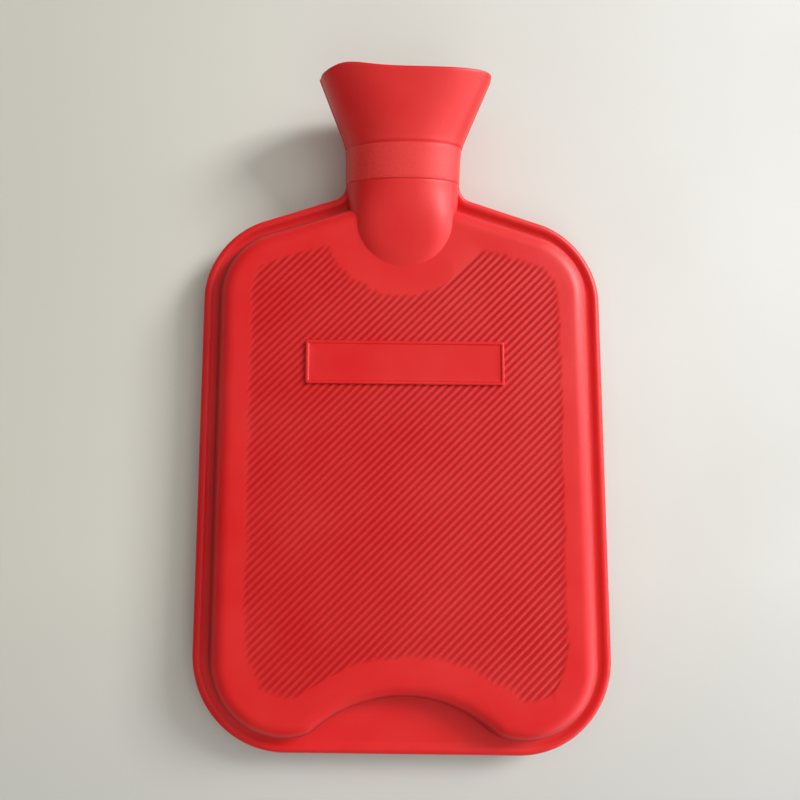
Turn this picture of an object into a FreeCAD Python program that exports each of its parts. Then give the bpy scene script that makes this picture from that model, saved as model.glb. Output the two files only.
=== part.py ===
import FreeCAD, Part
import math
import os

# A rubber hot water bottle lying on its back: the moulded bottle, the socket in its neck, a washer and a stopper.
# Millimetres. The bottle is worked out lying flat: X across it, Y from its bottom edge to its mouth, Z up from
# the back panel. The neck is bent up from the flat body, so it has a frame of its own, with Z along its axis.

Vector = FreeCAD.Vector

# Flange that joins the two halves, with a round bead along its edge
bottle_width = 200.0
bottom_corner_radius = 45.0
top_corner_radius = 42.0
side_top = 218.0
shoulder_slope_deg = 16.6
flange_width = 9.0
web_thickness = 2.4
bead_radius = 2.2

# Bladder
bladder_depth = 30.0
wall = 2.4
roll_radius = 13.0
arch_peak = 28.0
lobe_radius = 14.0
lobe_turn_deg = 14.6

# Ribbed fields on both faces
rib_pitch = 2.85
rib_angle_deg = 45.0
groove_width = 1.9
groove_depth = 0.8
groove_fade = 3.0
field_margin_top = 2.0
field_margin_bottom = 5.0
notch_radius = 37.4
notch_centre = 255.8

# Bare raised plate on the front
plate_width = 95.0
plate_height = 21.0
plate_centre = 183.8
plate_rise = 1.3
plate_recess = 0.5
plate_border = 1.5
plate_corner_radius = 1.0

# Neck, measured along its own axis from the line where it bends up
neck_bend = 250.0
neck_angle_deg = 14.0
collar_start = 27.0
collar_length = 16.5
collar_rise = 0.5
collar_half_width = 28.0
collar_half_depth = 20.0
collar_power = 2.2
tongue_half_width = 27.4
tongue_half_depth = 20.0
tongue_power = 4.4
tongue_length = 43.0
tongue_overlap = 18.0
tongue_fall = 0.5
tongue_tip = 231.5
tongue_outline_half_width = 26.0
tongue_outline_length = 30.0
seam_rise = 0.9
seam_thickness = 1.6

# Filling funnel
funnel_length = 34.5
mouth_half_width = 42.5
mouth_half_depth = 22.5
mouth_power = 2.7
funnel_wall = 2.6
funnel_floor_clearance = 0.4
funnel_floor_height = 4.0
funnel_floor_spread = 1.5
funnel_overshoot = 2.0
section_points = 32

# Socket moulded into the neck
socket_bore_radius = 10.8
socket_wall = 2.7
socket_length = 20.0
socket_flange_width = 1.6
socket_flange_thickness = 1.6
socket_ring_height = 2.2
socket_ring_rise = 1.0
socket_ring_count = 3
socket_seat = 41.0

# Passage under the tongue, which narrows to the socket
passage_margin = 0.2
passage_taper = 12.0
passage_throat = 4.0
passage_step = 0.5
passage_half_width = 18.5
passage_half_depth = 15.5

# Washer and stopper
thread_clearance = 0.4
plug_length = 14.0
shank_radius = 9.8
washer_clearance = 0.3
washer_radius = 14.0
washer_thickness = 2.2
washer_play = 0.05
stopper_flange_radius = 14.4
stopper_flange_thickness = 3.0
core_radius = 7.2
core_roof = 3.0
grip_half_width = 12.5
grip_height = 19.0
grip_thickness = 5.0
grip_corner_radius = 8.0
grip_edge_radius = 1.6

half_width = bottle_width / 2
mid_depth = bladder_depth / 2
slope = math.radians(shoulder_slope_deg)
neck_angle = math.radians(neck_angle_deg)
neck_placement = FreeCAD.Placement(
    Vector(0, neck_bend, mid_depth), FreeCAD.Rotation(Vector(1, 0, 0), neck_angle_deg - 90)
)
collar_end = collar_start + collar_length
mouth = collar_end + funnel_length


def circle_point(centre, radius, angle):
    return centre + Vector(radius * math.cos(angle), radius * math.sin(angle), 0)


def arc(centre, radius, start, end):
    """Arc about a centre in the XY plane, from one angle to another by the shorter way."""
    points = [circle_point(centre, radius, start + (end - start) * share) for share in (0, 0.5, 1)]
    return Part.Arc(*points).toShape()


def line(start, end):
    return Part.makeLine(start, end)


def mirrored(point):
    return Vector(-point.x, point.y, point.z)


def meeting_point(centre_a, radius_a, centre_b, radius_b, side):
    """One of the two points where circles meet; side is 1 or -1, to the left or right of the line a to b."""
    between = centre_b - centre_a
    distance = between.Length
    along = (distance ** 2 + radius_a ** 2 - radius_b ** 2) / (2 * distance)
    across = math.sqrt(max(radius_a ** 2 - along ** 2, 0))
    unit = between / distance
    return centre_a + unit * along + Vector(-unit.y, unit.x, 0) * (across * side)


def angle_of(centre, point):
    return math.atan2(point.y - centre.y, point.x - centre.x)


bottom_corner = Vector(half_width - bottom_corner_radius, bottom_corner_radius, 0)
top_corner = Vector(half_width - top_corner_radius, side_top, 0)
shoulder_normal = math.pi / 2 - slope

# The bladder's corner runs on past its lowest point, turns up round the lobe and meets the arch, which peaks
# in the middle. The arch's radius follows from those, so that all three always touch.
lobe_end = -math.pi / 2 - math.radians(lobe_turn_deg)
lobe_centre = circle_point(bottom_corner, bottom_corner_radius - flange_width - lobe_radius, lobe_end)
lobe_below_peak = arch_peak - lobe_centre.y
arch_square = lobe_centre.x ** 2 + lobe_below_peak ** 2 - lobe_radius ** 2
arch_radius = arch_square / (2 * (lobe_radius + lobe_below_peak))
arch_centre = Vector(0, arch_peak - arch_radius, 0)


def shoulder_point(inset, x):
    """Point at x on the straight shoulder, which lies inset from the flange's edge."""
    tangent = circle_point(top_corner, top_corner_radius - inset, shoulder_normal)
    return Vector(x, tangent.y + (tangent.x - x) * math.tan(slope), 0)


def right_side_edges(inset_bottom, inset_top, end_x):
    """Right half of the outline from the bottom corner's end to the shoulder at end_x, counter-clockwise."""
    low = arc(bottom_corner, bottom_corner_radius - inset_bottom, -math.pi / 2, 0)
    high = arc(top_corner, top_corner_radius - inset_top, 0, shoulder_normal)
    side = line(low.lastVertex().Point, high.firstVertex().Point)
    shoulder = line(high.lastVertex().Point, shoulder_point(inset_top, end_x))
    return [low, side, high, shoulder]


def with_mirror(edges, joining):
    """Closed wire from a half's edges, their mirror images and the edges that join the halves."""
    plane = (Vector(0, 0, 0), Vector(1, 0, 0))
    return Part.Wire(Part.__sortEdges__(edges + [edge.mirror(*plane) for edge in edges] + joining))


def flange_outline(inset):
    edges = right_side_edges(inset, inset, 0)
    start = edges[0].firstVertex().Point
    return with_mirror(edges, [line(mirrored(start), start)])


def bladder_outline(extra):
    """Outline of the bladder, drawn in by extra: two lobes and an arch at the bottom, shoulders at the top."""
    inset = flange_width + extra
    corner_radius = bottom_corner_radius - inset
    lobe = lobe_radius - extra
    arch = arch_radius + extra
    inward = angle_of(lobe_centre, arch_centre)
    corner = arc(bottom_corner, corner_radius, lobe_end, 0)
    turn = arc(lobe_centre, lobe, inward, lobe_end)
    foot = circle_point(lobe_centre, lobe, inward)
    rest = right_side_edges(inset, inset, 0)[1:]
    arch_arc = Part.Arc(mirrored(foot), arch_centre + Vector(0, arch, 0), foot).toShape()
    return with_mirror([turn, corner] + rest, [arch_arc])


def field_face():
    """Area that the ribs cover: narrower at the bottom, arched there, and notched round the tongue."""
    low_inset = flange_width + roll_radius + field_margin_bottom
    high_inset = flange_width + roll_radius + field_margin_top
    arch = arch_radius + roll_radius + field_margin_bottom
    radius = bottom_corner_radius - low_inset
    foot = meeting_point(bottom_corner, radius, arch_centre, arch, 1)
    edges = right_side_edges(low_inset, high_inset, 0)
    edges[0] = arc(bottom_corner, radius, angle_of(bottom_corner, foot), 0)
    arch_arc = Part.Arc(mirrored(foot), arch_centre + Vector(0, arch, 0), foot).toShape()
    face = Part.Face(with_mirror(edges, [arch_arc]))
    notch = Part.Face(Part.Wire(Part.makeCircle(notch_radius, Vector(0, notch_centre, 0))))
    return face.cut(notch)


def slab(outline, low, high):
    """Outline raised into a solid between two heights."""
    face = Part.Face(outline)
    face.translate(Vector(0, 0, low))
    return face.extrude(Vector(0, 0, high - low))


def rolled_slab(outline, low, high, radius):
    """Slab whose upper and lower edges are rolled over."""
    body = slab(outline, low, high)
    edges = [edge for edge in body.Edges if abs(edge.BoundBox.ZLength) < 0.001]
    return body.makeFillet(radius, edges)


def flange():
    """Flat web with a round bead along its edge, from one side of the neck round to the other."""
    web = slab(flange_outline(bead_radius), mid_depth - web_thickness / 2, mid_depth + web_thickness / 2)
    start_x = collar_half_width - 3 * bead_radius
    half = right_side_edges(bead_radius, bead_radius, start_x)
    mirror_plane = (Vector(0, 0, 0), Vector(1, 0, 0))
    bottom_start = half[0].firstVertex().Point
    edges = half + [edge.mirror(*mirror_plane) for edge in half] + [line(mirrored(bottom_start), bottom_start)]
    path = Part.Wire(Part.__sortEdges__(edges))
    path.translate(Vector(0, 0, mid_depth))
    first = path.OrderedVertexes[0].Point
    direction = Vector(math.cos(slope), math.sin(slope), 0)
    if first.x > 0:
        direction.x = -direction.x
    profile = Part.Wire(Part.makeCircle(bead_radius, first, direction))
    bead = path.makePipeShell([profile], True, True)
    return web.fuse(bead)


def groove(start, end, lift):
    """Groove of V section between two points on the panel, with sloping ends; lift keeps its top in the open."""
    along = (end - start).normalize()
    across = Vector(-along.y, along.x, 0)
    spread = 1 + lift / groove_depth
    reach = along * (groove_fade * (spread - 1))
    half = across * (groove_width / 2 * spread)
    raise_up = Vector(0, 0, lift)
    deep = Vector(0, 0, -groove_depth)
    a = start - reach + half + raise_up
    b = start - reach - half + raise_up
    c = end + reach - half + raise_up
    d = end + reach + half + raise_up
    low = start + along * groove_fade + deep
    far = end - along * groove_fade + deep
    outlines = [(a, b, c, d), (b, a, low), (d, c, far), (a, d, far, low), (c, b, low, far)]
    faces = [Part.Face(Part.makePolygon(list(points) + [points[0]])) for points in outlines]
    return Part.Solid(Part.Shell(faces))


def grooves(field, lift):
    """Parallel grooves across the field, one in each stretch where a slanting line crosses it."""
    angle = math.radians(rib_angle_deg)
    along = Vector(math.cos(angle), math.sin(angle), 0)
    across = Vector(-along.y, along.x, 0)
    middle = field.BoundBox.Center
    middle.z = 0
    reach = field.BoundBox.DiagonalLength / 2
    steps = int(reach / rib_pitch)
    found = []
    for step in range(-steps, steps + 1):
        centre = middle + across * (step * rib_pitch)
        chord = line(centre - along * reach, centre + along * reach).common(field)
        for edge in chord.Edges:
            if edge.Length > 3 * groove_fade:
                found.append(groove(edge.firstVertex().Point, edge.lastVertex().Point, lift))
    return found


def ribbing():
    """Grooves that leave the ribs standing, on the front face and, mirrored, on the back face."""
    front = Part.makeCompound(grooves(field_face(), groove_depth / 2))
    back = front.mirror(Vector(0, 0, 0), Vector(0, 0, 1))
    front.translate(Vector(0, 0, bladder_depth))
    return [front, back]


def plate():
    """Bare raised plate with a thin border; it reaches below the grooves, so that it closes them."""
    low = bladder_depth - groove_depth - (wall - groove_depth) / 2
    high = bladder_depth + plate_rise
    corner = Vector(-plate_width / 2, plate_centre - plate_height / 2, low)
    block = Part.makeBox(plate_width, plate_height, high - low, corner)
    upright = [edge for edge in block.Edges if abs(edge.BoundBox.ZLength) > 0.001]
    block = block.makeFillet(plate_corner_radius, upright)
    inner = Vector(corner.x + plate_border, corner.y + plate_border, high - plate_recess)
    width = plate_width - 2 * plate_border
    recess = Part.makeBox(width, plate_height - 2 * plate_border, 2 * plate_recess, inner)
    return block.cut(recess)


def oval(height, half_across, half_deep, power):
    """Closed smooth section at a height on the neck's axis: a superellipse of the given power."""
    points = []
    for step in range(section_points):
        turn = 2 * math.pi * step / section_points
        cosine, sine = math.cos(turn), math.sin(turn)
        x = half_across * math.copysign(abs(cosine) ** (2 / power), cosine)
        y = half_deep * math.copysign(abs(sine) ** (2 / power), sine)
        points.append(Vector(x, y, height))
    curve = Part.BSplineCurve()
    curve.interpolate(points, PeriodicFlag=True)
    return Part.Wire(curve.toShape())


def lofted(sections):
    return Part.makeLoft([oval(*section) for section in sections], True, False, False)


def neck_sections():
    """Outside of the neck and funnel: height on the axis, half width, half depth and power of each section."""
    flare = mouth_half_width - collar_half_width
    deepen = mouth_half_depth - collar_half_depth
    shares = ((0.0, 0.05, 0.0), (0.2, 0.2, 0.12), (0.42, 0.47, 0.35), (0.7, 0.72, 0.68), (1.0, 1.0, 1.0))
    rows = []
    for length_share, width_share, depth_share in shares:
        height = collar_end + funnel_length * length_share
        half_across = collar_half_width + flare * width_share
        half_deep = collar_half_depth + deepen * depth_share
        rows.append((height, half_across, half_deep, collar_power + (mouth_power - collar_power) * depth_share))
    return rows


def tongue_tube(shrink):
    """Tube under the tongue and collar, from inside the bladder up to the funnel."""
    across = tongue_half_width - shrink
    deep = tongue_half_depth - shrink
    start = collar_start - tongue_length
    middle_power = (tongue_power + collar_power) / 2
    return [
        (start - tongue_overlap, across, deep - tongue_fall, tongue_power),
        (start, across, deep, tongue_power),
        (start + tongue_length / 2, across, deep - tongue_fall / 2, middle_power),
    ]


def neck_outside():
    """Tongue, collar and funnel as one tapering tube."""
    collar = [(collar_start, collar_half_width, collar_half_depth, collar_power)]
    return lofted(tongue_tube(0) + collar + neck_sections())


def collar_band():
    low = oval(collar_start, collar_half_width + collar_rise, collar_half_depth + collar_rise, collar_power)
    end = neck_sections()[0]
    high = oval(collar_end, end[1] + collar_rise, end[2] + collar_rise, end[3])
    return Part.makeLoft([low, high], True, False, False)


def seam_fin():
    """Thin fin left by the mould along both sides of the neck and funnel."""
    rows = [(collar_start - tongue_length / 2, tongue_half_width)]
    rows += [(collar_start, collar_half_width)]
    rows += [(section[0], section[1]) for section in neck_sections()]
    points = [Vector(across + seam_rise, 0, height) for height, across in rows]
    curve = Part.BSplineCurve()
    curve.interpolate(points)
    right = curve.toShape()
    left = right.mirror(Vector(0, 0, 0), Vector(1, 0, 0))
    top = line(points[-1], mirrored(points[-1]))
    bottom = line(points[0], mirrored(points[0]))
    face = Part.Face(Part.Wire(Part.__sortEdges__([right, top, left, bottom])))
    face.translate(Vector(0, -seam_thickness / 2, 0))
    return face.extrude(Vector(0, seam_thickness, 0))


def funnel_inside():
    """Hollow of the funnel, from its floor at the socket's seat to beyond the mouth."""
    floor_radius = socket_bore_radius + socket_wall + socket_flange_width + funnel_floor_clearance
    rows = [(socket_seat, floor_radius, floor_radius, 2.0)]
    spread = funnel_floor_spread
    rows += [(socket_seat + funnel_floor_height, floor_radius + spread, floor_radius + spread / 5, 2.0)]
    for section in neck_sections()[2:]:
        rows.append((section[0], section[1] - funnel_wall, section[2] - funnel_wall, section[3]))
    inner, last = rows[-2:]
    share = funnel_overshoot / (last[0] - inner[0])
    beyond = [end + (end - start) * share for start, end in zip(inner, last)]
    return lofted(rows + [beyond])


def passage():
    """Hollow under the tongue, narrowing to the socket's lower end."""
    rows = tongue_tube(wall + passage_margin)[:2]
    socket_foot = socket_seat - socket_length
    narrow = socket_bore_radius + passage_step
    rows += [(socket_foot - passage_taper, passage_half_width, passage_half_depth, 2.1)]
    rows += [(socket_foot - passage_throat, narrow + 2 * passage_step, narrow + passage_step, 2.0)]
    rows += [(socket_foot, narrow, narrow, 2.0)]
    return lofted(rows)


def floor_slab(height):
    """Everything that may stand above a height, as a block to clip with."""
    size = 2 * (mouth + neck_bend)
    return Part.makeBox(size, size, size, Vector(-size / 2, -size / 2, height))


def tongue_prism():
    """Upright prism with the tongue's rounded outline, which gives the tongue its crisp edge."""
    centre = tongue_tip + tongue_outline_length
    half = tongue_outline_half_width
    points = []
    for step in range(9):
        turn = math.pi * (1 + step / 8)
        points.append(Vector(half * math.cos(turn), centre + tongue_outline_length * math.sin(turn), 0))
    curve = Part.BSplineCurve()
    curve.interpolate(points)
    top = [points[-1] + Vector(2 * half, 0, 0), Vector(3 * half, 2 * mouth + centre, 0)]
    outline = [curve.toShape(), line(points[-1], top[0]), line(top[0], top[1])]
    outline += [line(top[1], mirrored(top[1])), line(mirrored(top[1]), mirrored(top[0]))]
    outline += [line(mirrored(top[0]), points[0])]
    return slab(Part.Wire(outline), -2 * mouth, 2 * mouth)


def placed_on_neck(shape):
    """Shape drawn in the neck's own frame, put where the neck is."""
    moved = shape.copy()
    moved.Placement = neck_placement.multiply(moved.Placement)
    return moved


def neck_socket():
    """Socket with a flange at its rim and grip rings that hold it in the rubber."""
    radius = socket_bore_radius + socket_wall
    foot = socket_seat - socket_length
    outline = [Vector(socket_bore_radius, 0, foot), Vector(radius, 0, foot)]
    span = socket_length - socket_flange_thickness
    gap = (span - socket_ring_count * socket_ring_height) / (socket_ring_count + 1)
    height = foot
    for _ in range(socket_ring_count):
        height += gap
        outline += [Vector(radius, 0, height), Vector(radius + socket_ring_rise, 0, height)]
        height += socket_ring_height
        outline += [Vector(radius + socket_ring_rise, 0, height), Vector(radius, 0, height)]
    flange_radius = radius + socket_flange_width
    under = socket_seat - socket_flange_thickness
    outline += [Vector(radius, 0, under), Vector(flange_radius, 0, under)]
    outline += [Vector(flange_radius, 0, socket_seat), Vector(socket_bore_radius, 0, socket_seat)]
    outline.append(outline[0])
    face = Part.Face(Part.makePolygon(outline))
    return face.revolve(Vector(0, 0, 0), Vector(0, 0, 1), 360)


def sealing_washer():
    bore = shank_radius + washer_clearance
    foot = Vector(0, 0, socket_seat + washer_play)
    ring = Part.makeCylinder(washer_radius, washer_thickness, foot)
    return ring.cut(Part.makeCylinder(bore, washer_thickness, foot))


def screw_stopper():
    """Stopper: hollow threaded plug, shank for the washer, sealing flange and wing grip."""
    plug_radius = socket_bore_radius - thread_clearance
    foot = socket_seat - plug_length
    plug = Part.makeCylinder(plug_radius, plug_length, Vector(0, 0, foot))
    flange_foot = socket_seat + washer_thickness + 2 * washer_play
    shank = Part.makeCylinder(shank_radius, flange_foot - socket_seat, Vector(0, 0, socket_seat))
    disc = Part.makeCylinder(stopper_flange_radius, stopper_flange_thickness, Vector(0, 0, flange_foot))
    rim = [edge for edge in disc.Edges if edge.BoundBox.ZLength < 0.001]
    disc = disc.makeFillet(stopper_flange_thickness / 3, rim)
    grip_foot = flange_foot + stopper_flange_thickness
    corner = Vector(-grip_half_width, -grip_thickness / 2, grip_foot - stopper_flange_thickness / 2)
    height = grip_height + stopper_flange_thickness / 2
    grip = Part.makeBox(2 * grip_half_width, grip_thickness, height, corner)
    across = [edge for edge in grip.Edges if edge.BoundBox.YLength > 0.001 and edge.CenterOfMass.z > grip_foot]
    grip = grip.makeFillet(grip_corner_radius, across)
    sides = [face for face in grip.Faces if face.BoundBox.YLength < 0.001]
    grip = grip.makeFillet(grip_edge_radius, [e for side in sides for e in side.Edges if e.CenterOfMass.z > grip_foot])
    core = Part.makeCylinder(core_radius, plug_length - core_roof, Vector(0, 0, foot))
    return plug.fuse([shank, disc, grip]).cut(core).removeSplitter()


def rubber_bottle():
    """The whole moulding: bladder, flange, ribs, plate, tongue, collar and funnel, with its hollow."""
    bladder = rolled_slab(bladder_outline(0), 0, bladder_depth, roll_radius)
    bladder = bladder.cut(ribbing())
    tongue = placed_on_neck(neck_outside()).common(tongue_prism()).common(floor_slab(0))
    neck = [placed_on_neck(collar_band()), placed_on_neck(seam_fin())]
    outside = bladder.fuse([flange(), plate(), tongue] + neck)
    cavity = rolled_slab(bladder_outline(wall), wall, bladder_depth - wall, roll_radius - wall)
    throat = placed_on_neck(passage()).common(floor_slab(wall))
    hollow = [cavity, throat, placed_on_neck(funnel_inside()), placed_on_neck(socket_space())]
    return outside.cut(hollow).removeSplitter()


def socket_space():
    """Room for the socket: its outside, without its bore."""
    bore = Part.makeCylinder(socket_bore_radius, socket_length, Vector(0, 0, socket_seat - socket_length))
    return neck_socket().fuse(bore)


pieces = {
    "rubber_bottle": rubber_bottle(),
    "neck_socket": placed_on_neck(neck_socket()),
    "sealing_washer": placed_on_neck(sealing_washer()),
    "screw_stopper": placed_on_neck(screw_stopper()),
}
reach = pieces["rubber_bottle"].optimalBoundingBox(False, False)
to_origin = Vector(0, -(reach.YMin + reach.YMax) / 2, -reach.ZMin)
os.makedirs("parts", exist_ok=True)
for name, shape in pieces.items():
    shape.translate(to_origin)
    shape.exportStep("parts/" + name + ".step")
    print(name, "solids", len(shape.Solids), "valid", shape.isValid(), "volume", round(shape.Volume))
print("origin moved by", to_origin)
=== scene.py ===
import math

import bpy
import numpy as np
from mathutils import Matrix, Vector


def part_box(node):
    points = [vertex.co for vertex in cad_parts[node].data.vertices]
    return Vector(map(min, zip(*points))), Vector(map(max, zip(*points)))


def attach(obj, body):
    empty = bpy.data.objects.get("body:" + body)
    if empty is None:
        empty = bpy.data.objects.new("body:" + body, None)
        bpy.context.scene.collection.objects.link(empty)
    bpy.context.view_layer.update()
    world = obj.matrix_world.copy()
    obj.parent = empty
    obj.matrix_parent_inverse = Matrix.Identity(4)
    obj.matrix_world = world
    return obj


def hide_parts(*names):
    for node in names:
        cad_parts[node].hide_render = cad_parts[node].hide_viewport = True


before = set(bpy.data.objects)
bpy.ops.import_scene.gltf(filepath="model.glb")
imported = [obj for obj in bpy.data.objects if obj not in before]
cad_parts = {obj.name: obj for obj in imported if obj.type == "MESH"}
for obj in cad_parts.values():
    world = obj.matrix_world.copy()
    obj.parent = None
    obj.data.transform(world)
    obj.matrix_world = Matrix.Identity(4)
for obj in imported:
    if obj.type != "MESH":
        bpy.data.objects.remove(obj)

bl_info = {
    "name": "Rubber Hot Water Bottle",
    "version": (1, 0, 0),
    "blender": (4, 5, 0),
    "location": "3D View > Sidebar > Hot Water Bottle",
    "description": "Dresses a moulded rubber bottle with ribs, beaded flange, funnel neck and screw stopper",
    "category": "Object",
}

# The frame gives the overall size. X runs across the bottle, Y from its bottom edge to its mouth, Z up.
# Along the bottle, places are measured from its bottom edge, which lies at BOTTOM_EDGE in the frame.
BOTTLE_LOW, BOTTLE_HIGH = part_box("rubber_bottle")
BOTTOM_EDGE = BOTTLE_LOW.y
HALF_WIDTH = BOTTLE_HIGH.x
HALF_DEPTH = 0.015
QUARTER = math.pi / 2


class BottleSizes(bpy.types.PropertyGroup):
    """Sizes of the rubber moulding"""

    bottom_corner: bpy.props.FloatProperty(
        name="Bottom corner", description="Radius of the flange's bottom corners",
        default=0.045, unit="LENGTH")
    top_corner: bpy.props.FloatProperty(
        name="Top corner", description="Radius of the flange's top corners", default=0.042, unit="LENGTH")
    side_top: bpy.props.FloatProperty(
        name="Side top", description="Where the straight sides end, from the bottom edge",
        default=0.218, unit="LENGTH")
    shoulder_slope: bpy.props.FloatProperty(
        name="Shoulder slope", description="Slope of the shoulders",
        default=math.radians(16.6), subtype="ANGLE")
    flange_width: bpy.props.FloatProperty(
        name="Flange width", description="From the bladder's wall to the flange's edge",
        default=0.009, unit="LENGTH")
    web_thickness: bpy.props.FloatProperty(
        name="Web thickness", description="Thickness of the flange inside its bead",
        default=0.0024, unit="LENGTH")
    bead_radius: bpy.props.FloatProperty(
        name="Bead radius", description="Radius of the round bead on the edge",
        default=0.0026, unit="LENGTH")
    roll_radius: bpy.props.FloatProperty(
        name="Roll radius", description="Radius of the bladder's rounded shoulder",
        default=0.013, unit="LENGTH")
    roll_round: bpy.props.FloatProperty(
        name="Roll round", description="Radius of the tighter turn that the shoulder shows in gloss",
        default=0.0095, unit="LENGTH")
    field_corner: bpy.props.FloatProperty(
        name="Field corner", description="Height of the rounded lower corners of the ribbed field",
        default=0.030, unit="LENGTH")
    arch_peak: bpy.props.FloatProperty(
        name="Arch peak", description="Height of the arch at the bottom, from the edge",
        default=0.028, unit="LENGTH")
    lobe_radius: bpy.props.FloatProperty(
        name="Lobe radius", description="Radius where the bottom lobes turn into the arch",
        default=0.014, unit="LENGTH")
    lobe_turn: bpy.props.FloatProperty(
        name="Lobe turn", description="How far the corner runs on past its lowest point",
        default=math.radians(14.6), subtype="ANGLE")
    rib_pitch: bpy.props.FloatProperty(
        name="Rib pitch", description="From one rib to the next", default=0.00285, unit="LENGTH")
    groove_depth: bpy.props.FloatProperty(
        name="Groove depth", description="Depth of the grooves between the ribs",
        default=0.0004, unit="LENGTH")
    # Recess: painted shade, with more matt rubber, on the web at the roll's foot
    recess_width: bpy.props.FloatProperty(
        name="Recess width", description="How far the darker recess at the roll's foot reaches onto the web",
        default=0.0016, unit="LENGTH")
    groove_fade: bpy.props.FloatProperty(
        name="Groove fade", description="Length over which a groove runs out", default=0.0035, unit="LENGTH")
    margin_top: bpy.props.FloatProperty(
        name="Upper margin", description="From the rolled edge to the ribs at the top",
        default=0.002, unit="LENGTH")
    margin_bottom: bpy.props.FloatProperty(
        name="Lower margin", description="From the rolled edge to the ribs at the bottom",
        default=0.005, unit="LENGTH")
    notch_radius: bpy.props.FloatProperty(
        name="Notch radius", description="Radius of the smooth area round the tongue",
        default=0.0374, unit="LENGTH")
    notch_centre: bpy.props.FloatProperty(
        name="Notch centre", description="Middle of that area, from the bottom edge",
        default=0.2558, unit="LENGTH")


class NeckSizes(bpy.types.PropertyGroup):
    """Sizes of the tongue, collar and funnel, which lie on an axis bent up from the flat body"""

    bend: bpy.props.FloatProperty(
        name="Bend", description="Where the neck bends up, from the bottom edge",
        default=0.250, unit="LENGTH")
    bend_half: bpy.props.FloatProperty(
        name="Bend half length", description="Half the length over which it bends",
        default=0.014, unit="LENGTH")
    angle: bpy.props.FloatProperty(
        name="Neck angle", description="How far the neck is bent up",
        default=math.radians(14.0), subtype="ANGLE")
    tongue_half_width: bpy.props.FloatProperty(
        name="Tongue half width", description="Half width of the tongue's outline",
        default=0.0262, unit="LENGTH")
    tongue_length: bpy.props.FloatProperty(
        name="Tongue length", description="Length of the tongue's rounded end", default=0.030, unit="LENGTH")
    tongue_tip: bpy.props.FloatProperty(
        name="Tongue tip", description="Place of the tongue's tip, from the bottom edge",
        default=0.2315, unit="LENGTH")
    collar_start: bpy.props.FloatProperty(
        name="Collar start", description="Lower edge of the collar, from the bend",
        default=0.027, unit="LENGTH")
    collar_length: bpy.props.FloatProperty(
        name="Collar length", description="Length of the collar band", default=0.0165, unit="LENGTH")
    collar_rise: bpy.props.FloatProperty(
        name="Collar rise", description="How far the collar stands out", default=0.0002, unit="LENGTH")
    collar_line: bpy.props.FloatProperty(
        name="Collar line", description="Depth of the fine line at each end of the collar",
        default=0.0003, unit="LENGTH")
    mouth: bpy.props.FloatProperty(
        name="Mouth", description="Place of the mouth, from the bend", default=0.078, unit="LENGTH")
    mouth_dip: bpy.props.FloatProperty(
        name="Mouth dip", description="How far the lip dips between its corners",
        default=0.0011, unit="LENGTH")
    mouth_lift: bpy.props.FloatProperty(
        name="Mouth lift", description="How far the soft lip is pushed up in front on the left",
        default=0.0024, unit="LENGTH")
    funnel_wall: bpy.props.FloatProperty(
        name="Funnel wall", description="Thickness of the funnel's wall", default=0.0026, unit="LENGTH")
    seam_rise: bpy.props.FloatProperty(
        name="Seam rise", description="How far the mould's seam stands out", default=0.0006, unit="LENGTH")
    seat: bpy.props.FloatProperty(
        name="Seat", description="Floor of the funnel, where the washer lies, from the bend",
        default=0.041, unit="LENGTH")


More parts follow.
